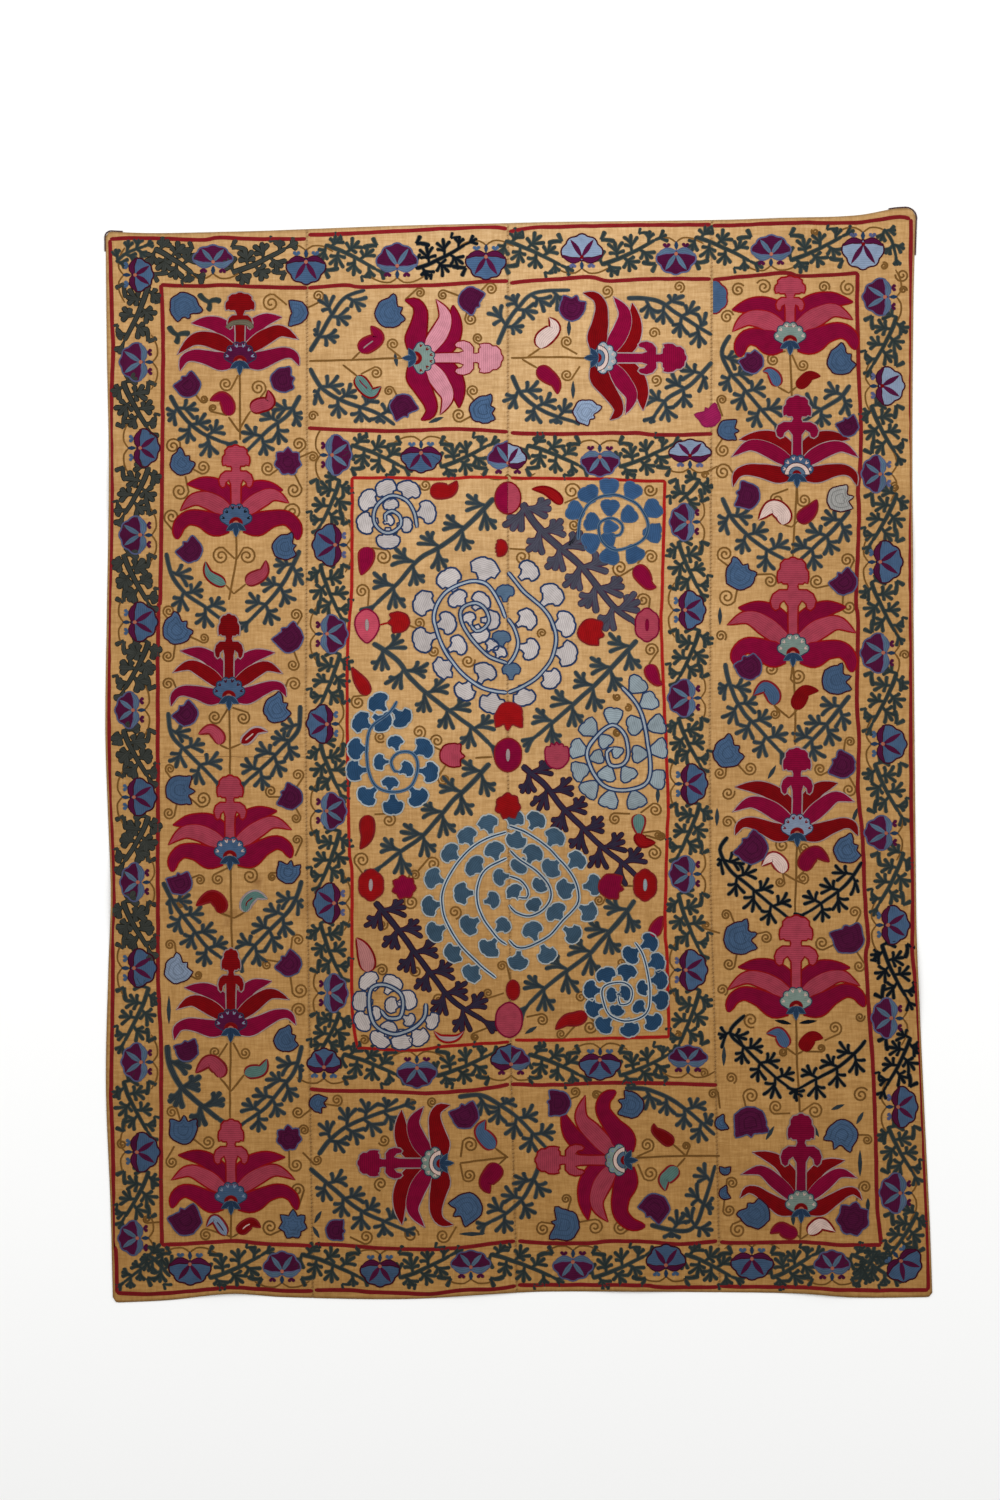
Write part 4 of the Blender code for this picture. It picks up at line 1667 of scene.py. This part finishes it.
# The vine lines of each rosette, and its petals' places under their width, in chart squares
rosettePlaces = {
    "topLeft": {
        "lines": (
            (
                "417,528 415,515 409,503 400,497 389,496 379,503 374,513 375,524 383,532 393,532 "
                "401,525 400,516 392,511 385,515 386,522"
            ),
        ),
        "petals": {
            21: "386,489 409,490 427,512 368,500 366,523 388,540",
            15: "391,505 406,525",
            11: "389,520",
        },
    },
    "topRight": {
        "lines": (
            (
                "578,540 580,520 588,505 600,497 615,495 630,500 640,507 647,520 648,530 643,540 "
                "630,547 615,550 605,545 600,537 599,525 604,520 612,518 620,522 623,528 620,535 "
                "613,536"
            ),
        ),
        "petals": {
            18: "589,494 609,487 632,491 653,509 653,533 634,554 610,556 591,542 575,511",
            16: "610,507 629,515 592,522",
            13: "610,527 609,539",
        },
    },
    "large": {
        "lines": (
            "508,572 524,592 541,606 552,622 556,640 551,660 537,677 524,686 508,693",
            (
                "507,693 486,689 466,677 449,657 439,637 434,616 442,596 456,586 473,581 486,584 "
                "496,596 506,618"
            ),
            (
                "507,663 490,657 476,644 464,627 460,614 465,606 476,603 485,609 489,620 484,628 "
                "476,631 471,625"
            ),
            "508,618 515,630 518,643 515,655 508,664",
        ),
        "petals": {
            27: "485,569",
            24: "449,579 424,603 423,640 492,703 552,595 565,624 567,654",
            21: "443,668 465,691 529,571 551,679 524,697 447,623 485,672 527,619 530,649",
            19: "458,599 481,601 492,620 458,645 480,635",
            13: "469,618 492,645 500,652",
        },
    },
    "left": {
        "lines": (
            (
                "397,701 390,712 370,730 367,760 375,785 395,792 412,785 418,765 412,753 398,753 "
                "391,762 395,771 400,772"
            ),
        ),
        "petals": {
            21: (
                "378,702 402,718 361,722 356,749 355,771 367,796 393,806 418,797 430,772 424,748 "
                "383,722"
            ),
            16: "395,742 380,762 390,783 407,769",
        },
    },
    "right": {
        "lines": (
            (
                "622,687 640,710 648,745 650,775 640,787 615,790 598,780 587,755 595,738 612,725 "
                "625,735 628,755 622,765 610,765 607,752 613,748"
            ),
        ),
        "petals": {
            18: (
                "637,685 649,701 657,725 659,749 657,779 636,800 609,800 590,789 580,771 578,749 "
                "589,728 613,716 635,725"
            ),
            16: "639,754 607,774 628,774",
            14: "605,741 597,757",
            11: "617,752",
        },
    },
    "great": {
        "lines": (
            "507,832 480,842 458,862 443,890 444,915 458,942 480,965 496,978",
            "507,858 485,870 477,890 480,912 495,935 507,945",
            (
                "509,826 525,832 545,845 560,860 572,875 578,890 577,905 563,920 550,935 530,946 "
                "517,947 509,940"
            ),
            "510,850 520,860 535,870 547,882 551,895 545,908 530,916 515,912 509,905",
            "509,876 520,880 528,890 527,898 518,897",
        ),
        "petals": {
            20: (
                "488,823 467,836 450,853 433,878 430,906 435,932 453,953 472,973 514,818 536,820 "
                "555,837 577,860 594,885 589,912 573,934 547,955 518,962"
            ),
            20.5: (
                "494,850 475,866 462,893 469,925 489,948 516,840 533,853 551,868 565,889 556,912 "
                "532,930"
            ),
            17: "503,925 493,900 500,877 519,866 540,885 534,905 514,891",
        },
    },
    "bottomLeft": {
        "lines": (
            (
                "426,1003 424,1018 410,1030 393,1034 375,1025 369,1005 372,988 385,985 400,993 "
                "403,1005 400,1017 388,1018 381,1010"
            ),
        ),
        "petals": {
            20: "369,981 392,984 408,1000 361,1001 363,1021 380,1039 402,1041 419,1037",
            16: "432,1021 392,1005 389,1028",
            13: "376,1013 409,1020",
        },
    },
    "bottomRight": {
        "lines": (
            (
                "635,942 643,955 648,975 650,995 648,1010 640,1018 625,1021 610,1015 603,1000 "
                "603,988 612,983 625,983 632,990 630,1002 620,1004 618,995"
            ),
        ),
        "petals": {
            19: (
                "650,942 631,955 657,962 660,980 661,1000 653,1022 630,1029 604,1025 593,1008 "
                "591,990 606,975 627,972"
            ),
            15: "643,988 639,1007 617,1010 612,995 625,993",
        },
    },
}
bluePetals = "505,592 501,638 511,670"
rosettePetals = Stitching("rosette_petals")
rosetteLines = Stitching("rosette_lines")


def ginkgo(x, y, degrees, wide, fill, edge, form="ginkgo", edgeWide=0.0030):
    # A petal like a ginkgo leaf, or a plain wedge, no two halves quite the same
    outline = [(u * wide * hand.uniform(0.92, 1.08), v * wide) for u, v in petalHalves[form]]
    otherHalf = [(-u * hand.uniform(0.92, 1.08), v) for u, v in reversed(outline)]
    rosettePetals.patch(
        [*outline, (0, 0.40 * wide), *otherHalf], turned(x, y, degrees), fill, edge,
        level=hand.choice((3, 5)), edgeWide=edgeWide,
    )


for look in rosetteChart:
    places = rosettePlaces[look["name"]]
    for text in places["lines"]:
        rosetteLines.line(
            route(text), look["lineHalf"], look["line"], look["lineEdge"], level=8, edgeShare=0.62
        )
    near = [p for text in places["lines"] for p in smoothRoute(route(text))]
    for wide, text in places["petals"].items():
        for x, y in route(text):
            base = min(near, key=lambda p: math.dist(p, (x, y)))
            heading = math.degrees(math.atan2(y - base[1], x - base[0]))
            ginkgo(
                x, y, heading, squares(wide), look["fill"], look["edge"], look["form"],
                look["edgeWide"],
            )
for x, y in route(bluePetals):
    ginkgo(x, y, 90, squares(17), "blueEdge", "paleEdge")
rosettePetals.finish(silk)
rosetteLines.finish(silk)

# ---- branches of the field and of the palmette columns

fieldGreen = (
    "494,498 468,525 443,545 418,560 398,583 376,604",
    "373,643 397,660 412,680 435,700 455,715 475,730 490,744",
    "490,763 470,785 452,802 435,822 420,838 400,852 382,866",
    "637,640 617,662 598,682 578,700 558,718 536,736",
    "635,900 620,920 600,942 588,955 565,972 545,988 528,1005",
)
fieldSlate = {
    "plum": "375,902 397,928 413,950 432,975 452,1000 483,1020",
    "slate": "522,503 537,526 560,548 580,565 600,590 615,608 633,621",
    "plumLow": "522,766 545,785 560,805 580,825 600,845 625,865 637,877",
}
# Sizes in metres, degrees that the hands lean, and the share of the stem that is bare at first
branchLooks = {row["name"]: row for row in chart("""
name form reach half stem fingers lean spacing first
green palm 0.049 0.0052 0.0062 3 57 0.058 0.08
slate palm 0.053 0.0076 0.0092 3 60 0.052 0.04
plum palm 0.051 0.0060 0.0074 3 58 0.054 0.06
side coral 0.046 0.0050 0.0056 3 58 0.046 0.20
navy coral 0.045 0.0045 0.0050 3 56 0.045 0.22
bold palm 0.046 0.0070 0.0078 3 57 0.050 0.16
""")}
for name in ("slate", "plum"):
    branchLooks[name]["lobed"] = "slim"
roomChart = chart("""
name left top right bottom spread
field 357 483 660 1035 0
left 166 291 304 1239 0
right 717 286 853 1239 0.048
top 313 293 708 424 0
bottom 314 1097 714 1238 0
""")
rooms = [
    (*spot(row["left"], row["bottom"]), *spot(row["right"], row["top"]), row["spread"])
    for row in roomChart
]


def roomOf(points):
    # The panel between border lines that most of a branch lies in
    return max(rooms, key=lambda room: sum(not isOutside(room, *p) for p in points))


fieldBranches = Stitching("field_branches")
for text in fieldGreen:
    branch(fieldBranches, route(text), branchLooks["green"], ("leaf", "leafHalo"), rooms[0])
for name, text in fieldSlate.items():
    threads = ("slate", "slateEdge") if name == "slate" else ("plumSlate", "plumEdge")
    branch(fieldBranches, route(text), branchLooks[name.split("Low")[0]], threads, rooms[0])
fieldBranches.finish(silk)

sideGreen = (
    "170,395 182,415 200,432 222,442", "300,395 288,415 268,430 250,448",
    "166,553 172,575 185,593 205,607 222,620", "300,550 285,580 270,600 252,618",
    "168,712 172,735 185,750 200,765 213,778", "300,705 298,730 280,750 262,768 248,780",
    "163,882 175,905 190,925 205,945 220,957", "302,880 293,905 275,925 258,942 245,958",
    "302,1045 295,1070 280,1090 265,1108 245,1122",
    "730,335 722,352 730,372 745,390 760,408 772,422", "850,385 840,398 820,410 805,420",
    "722,497 730,515 742,530 760,545 785,560", "850,510 835,528 822,540 800,560",
    "725,663 730,685 742,710 760,730 778,750", "850,695 838,710 822,730 800,752",
    "318,1155 335,1135 360,1120 400,1107", "310,1168 335,1190 360,1210 400,1228",
    "458,1097 480,1095 500,1105 520,1120 545,1147", "540,1165 525,1195 508,1212 490,1222",
    "625,1088 650,1090 680,1105 715,1135", "650,1225 690,1230 705,1200 715,1165",
    "310,352 320,335 332,315 345,298 365,290", "310,368 322,388 345,402 375,412 395,425",
    "498,345 506,325 518,308 535,293 570,290", "512,375 522,395 545,412 575,422",
    "627,298 655,300 675,312 695,325 712,335", "712,362 690,385 668,398 655,415",
)
sideNavy = (
    "728,837 720,850 730,870 748,885 768,902 787,917", "862,862 850,880 833,895 808,912",
    "745,1015 730,1032 745,1048 765,1068 780,1081 790,1088",
    "866,1040 858,1050 840,1066 818,1078 802,1087",
)
sideBold = ("167,1045 170,1065 180,1085 195,1100 210,1112 220,1120",)
sideLook = {"birdHalf": 0.0062, "dashHalf": 0.0046}
sideBranches = Stitching("side_branches")
for name, table in (("side", sideGreen), ("navy", sideNavy), ("bold", sideBold)):
    for text in table:
        points = route(text)
        threads = ("navy" if name == "navy" else "leaf", "leafHalo")
        branch(sideBranches, points, branchLooks[name], threads, roomOf(points))
twigChart = chart("""
column row turn length
209 302 140 13
209 302 0 12
209 302 262 9
178 335 135 13
178 335 5 12
178 335 255 9
""")
for row in twigChart:  # birds on the wing, of three leaves each
    finger(
        sideBranches, spot(row["column"], row["row"]), row["turn"], squares(row["length"]),
        sideLook["birdHalf"], ("leafBorder", "leafEdge"), curl=0.14,
    )
dashChart = chart("""
column row turn length silk
569 328 90 16 leaf
573 390 90 18 leaf
395 535 60 16 leaf
436 420 20 16 leaf
720 616 90 18 leaf
658 795 90 16 leaf
772 772 60 16 leaf
717 817 90 18 leaf
855 815 70 16 leaf
169 1010 90 28 leaf
531 1030 30 14 leaf
783 1022 168 17 navy
808 1022 8 18 navy
724 1056 90 20 leaf
770 1133 60 16 leaf
815 1130 120 16 leaf
860 1163 90 26 leaf
860 1118 60 14 leaf
838 1107 20 14 leaf
868 1205 90 14 leaf
793 1219 90 12 leaf
318 1217 60 14 leaf
316 1232 120 14 leaf
472 1234 0 26 leaf
396 360 280 14 leaf
""")
for row in dashChart:
    dashLeaf(
        sideBranches, *spot(row["column"], row["row"]), row["turn"], squares(row["length"]),
        sideLook["dashHalf"], row["silk"],
    )
sideBranches.finish(silk)

# ---- stems and curling tendrils

tendrilLook = {
    "half": 0.0020,
    "stemHalf": 0.0022,
    "turns": 1.7,
    "tailReach": 40,  # how far off, in chart squares, the work may be that a tail points at
    "tailLong": 16,
}
stems = (
    "240,372 240,440", "236,532 236,560 229,600", "229,706 230,740 230,775",
    "231,866 231,905 232,948", "231,1038 230,1080 230,1118", "231,1212 231,1240",
    "790,350 792,398", "797,486 795,520 793,557", "793,664 795,700 795,745",
    "797,843 796,880 795,913", "796,1018 797,1060 800,1113", "801,1218 800,1240",
    "309,361 350,360 402,358", "511,358 545,357 585,358", "460,1163 508,1157",
    "635,1158 680,1156 720,1156", "239,432 228.5,417", "239,430 250.5,411", "234,594 226,585",
    "234,594 245.5,584", "229,749 220,745", "229,749 241,744", "234,918 220,913",
    "234,918 245,912", "231,1091 220,1078", "231,1091 244,1075", "233,1237 226,1235",
    "233,1237 238,1234", "789,393 778,387", "789,393 796.5,387", "792,527 783,525",
    "792,527 798,521", "789,718 774,705", "789,718 797,710", "795,880 783,873",
    "795,880 804,871", "796,1055 786,1048", "796,1055 803,1051", "801,1239 797,1234",
    "801,1239 808,1234", "351,361 360,352", "343,365 357,376", "527,357 541,348",
    "522,359 537,368", "508,1158 495,1148", "506,1158 499,1164", "686,1156 673,1144",
    "685,1158 677,1167", "475,758 492,757", "622,886 633,886",
)
# Column, row and size of each curl
tendrilPlaces = """
271,303,9 226,384,7 258,388,8 204,399,4 213,408,4 318,296,6 420,293,5 443,295,5 393,344,6 376,373,6
389,391,5 471,319,6 478,338,5 491,289,6 473,391,6 459,415,7 607,291,6 679,287,6 567,342,6 567,375,6
654,333,6 656,380,6 738,290,7 764,287,8 824,287,6 848,288,8 727,317,7 773,360,6 803,365,6 722,400,5
815,232,4 884,266,4 902,275,7 903,290,4 313,416,5 173,446,8 203,467,7 180,491,9 172,517,8 299,444,7
268,468,7 313,457,5 294,490,8 293,512,9 221,556,9 247,556,9 169,611,6 296,615,6 425,485,6 383,557,8
362,591,7 419,623,6 572,491,9 574,525,6 650,490,7 522,557,8 620,568,8 651,557,7 643,600,7 705,475,4
723,450,7 723,472,8 777,500,7 804,500,7 895,487,5 725,554,8 770,581,7 817,581,7 847,560,7 727,597,9
849,607,7 204,638,5 168,656,6 168,684,6 215,717,7 243,718,7 293,665,6 294,684,7 170,769,5 298,775,6
271,791,6 203,799,8 169,813,6 296,818,5 358,702,7 434,651,6 468,661,7 380,737,6 419,732,7 437,741,7
444,779,6 389,820,7 542,633,5 651,650,7 617,697,4 628,708,4 617,733,4 655,810,7 615,819,6 658,835,4
721,636,6 771,669,7 798,676,8 775,714,5 750,768,7 720,773,6 820,769,6 850,742,5 728,793,7 728,822,6
849,790,7 905,655,5 200,880,5 218,879,6 250,876,8 272,877,4 180,904,4 170,945,5 297,840,5 298,940,6
267,965,5 198,975,4 300,990,8 299,1010,7 215,1052,6 245,1053,6 382,925,6 416,971,6 438,1000,6
411,902,7 455,912,7 362,860,8 415,875,5 433,864,7 382,970,6 502,966,5 488,993,5 364,1040,5
475,1037,4 599,900,5 654,853,7 661,836,4 581,997,6 542,1020,6 561,1034,5 590,1027,7 621,963,5
706,925,4 678,1035,4 782,845,7 804,848,6 780,882,5 803,878,6 726,915,5 766,938,6 822,943,7
855,912,6 729,964,6 722,990,6 859,966,6 751,1020,8 860,1017,5 835,1028,7 172,1112,6 208,1142,7
172,1162,6 298,1112,6 304,1130,5 296,1165,7 297,1190,7 270,1227,8 206,1235,6 122,1144,5 147,1219,4
384,1140,6 381,1184,7 337,1100,6 411,1104,5 432,1102,5 317,1160,5 470,1145,8 469,1175,7
411,1235,8 366,1237,7 443,1236,7 647,1145,7 650,1173,8 686,1146,4 543,1229,7 566,1199,5 595,1227,8
620,1227,7 575,1092,5 596,1095,4 713,1094,5 704,1073,5 731,1078,6 751,1096,8 776,1107,7 815,1111,8
861,1095,8 867,1140,5 732,1183,6 729,1210,6 738,1230,8 865,1187,6 783,1052,4 821,1048,4
"""
tendrils = Stitching("tendrils")
for text in stems:
    tendrils.line(route(text), tendrilLook["stemHalf"], "olive", level=0, rise=0.0003)
anchors = [spot(r["column"], r["row"]) for table in (budChart, flowerChart) for r in table]
anchors += [spot(r["headx"], r["heady"]) for r in paisleyChart]
anchors += [p for text in stems for p in route(text)]
for word in tendrilPlaces.split():
    column, row, size = map(float, word.split(","))
    x, y = spot(column, row)
    radius = squares(size)
    far = squares(tendrilLook["tailReach"])
    near = [a for a in anchors if radius * 1.3 < math.dist(a, (x, y)) < far]
    way = hand.choice((-1, 1))
    goal = min(near, key=lambda a: math.dist(a, (x, y))) if near else None
    towards = math.atan2(goal[1] - y, goal[0] - x) if goal else hand.uniform(0, 6.28)
    finalTurn = towards - way * math.pi / 2
    sweep = 2 * math.pi * tendrilLook["turns"]
    path = []
    for i in range(23):
        share = i / 22
        angle = finalTurn - way * sweep * (1 - share)
        reach = radius * (0.12 + 0.88 * share)
        path.append((x + math.cos(angle) * reach, y + math.sin(angle) * reach))
    if goal:
        end = path[-1]
        total = math.dist(end, goal) or 1
        far = min(total, squares(tendrilLook["tailLong"]))
        for share in (0.35, 0.7, 1):
            path.append(tuple(e + (g - e) / total * far * share for e, g in zip(end, goal)))
    half = tendrilLook["half"]
    tendrils.ribbon(path, [half] * len(path), "olive", level=0, rise=0.0003)
tendrils.finish(silk)

# ---- seam and hem stitches

seamLook = {"pitch": 0.0085, "reach": 0.0042, "half": 0.0006}
sewing = Stitching("seam_stitches")
for seam in (leftSeam, middleSeam, rightSeam):
    y = bottomAt(seam[-1][1]) + 0.006
    while y < topAt(seam[0][1]) - 0.006:
        x, lean = follow(seam, y), seamLook["reach"]
        sewing.ribbon(
            [(x - lean / 2, y - 0.0012), (x, y), (x + lean / 2, y + 0.0012)],
            [seamLook["half"]] * 3, "sewingThread", level=0, rise=0.0002,
        )
        y += seamLook["pitch"]
sewing.finish(silk)

# ---- edging braid at the two top corners

braidLook = {"dark": "#2A0E12", "light": "#4A1A1C", "plaitPitch": 0.0032}


def twistedWoolBraid():
    # Plaited wool edging, dark maroon: matt, with slanting ribs along it
    finish, tree, shader = newFinish("plaited_dark_braid", Roughness=0.85, Sheen_Weight=0.2)
    places = addNode(tree, "ShaderNodeTexCoord").outputs["Object"]
    ribs = addNode(
        tree, "ShaderNodeTexWave", {"bands_direction": "DIAGONAL"},
        Vector=places, Scale=0.314 / braidLook["plaitPitch"], Distortion=1.5, Detail=2.0,
    )
    shade = shadeRamp(
        tree, ribs.outputs["Fac"],
        (0.2, toLinear(braidLook["dark"])), (0.8, toLinear(braidLook["light"])),
    )
    tree.links.new(shade, shader.inputs["Base Color"])
    bumps = addNode(
        tree, "ShaderNodeBump", None, Strength=0.8, Distance=0.0008, Height=ribs.outputs["Fac"]
    )
    tree.links.new(bumps.outputs[0], shader.inputs["Normal"])
    return finish


braid = twistedWoolBraid()
for node in ("edging_top_left", "edging_top_right"):
    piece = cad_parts[node]
    if piece.material_slots:
        piece.material_slots[0].material = braid
    else:
        piece.data.materials.append(braid)
print("braid is fitted")

# ---- floor, light and camera

studio = {
    "floor": "#F4F4F3",
    "floorSize": 14.0,
    "worldStrength": 0.48,
    "lampPower": 178.0,
    "lampSize": 5.0,
    "lampHeight": 4.2,
    "lampOut": 3.4,
    "lampTilt": 0.62,
    "lens": 85.0,
    "photoRows": 1500,
}
bm = bmesh.new()
bmesh.ops.create_grid(bm, x_segments=2, y_segments=2, size=studio["floorSize"] / 2)
bmesh.ops.translate(bm, verts=bm.verts, vec=(0, 0, -0.0002))
mesh = bpy.data.meshes.new("floor")
bm.to_mesh(mesh)
bm.free()
paper, tree, shader = newFinish("matt_white_backdrop_paper", Roughness=0.9)
shader.inputs["Base Color"].default_value = toLinear(studio["floor"])
mesh.materials.append(paper)
floor = bpy.data.objects.new("floor", mesh)
scene.collection.objects.link(floor)

world = bpy.data.worlds.new("studio")
scene.world = world
world.use_nodes = True
sky = world.node_tree.nodes["Background"]
sky.inputs["Color"].default_value = (1, 1, 1, 1)
sky.inputs["Strength"].default_value = studio["worldStrength"]
for name, side in (("lamp_left", -1), ("lamp_right", 1)):
    lamp = bpy.data.lights.new(name, "AREA")
    lamp.energy = studio["lampPower"]
    lamp.size = studio["lampSize"]
    shine = bpy.data.objects.new(name, lamp)
    shine.location = (side * studio["lampOut"], 1.6, studio["lampHeight"])
    shine.rotation_euler = (0.0, side * studio["lampTilt"], 0.0)
    scene.collection.objects.link(shine)

camera = bpy.data.objects.new("camera", bpy.data.cameras.new("camera"))
camera.data.lens = studio["lens"]
frameTall = studio["photoRows"] * patternChart["square"]
centre = spot(500, 750)
distance = frameTall * studio["lens"] / camera.data.sensor_width
camera.location = (*centre, clothShape["thick"] + distance)
camera.data.clip_end = 50
scene.collection.objects.link(camera)
scene.camera = camera
scene.view_settings.view_transform = "Standard"
print("lights and camera stand")
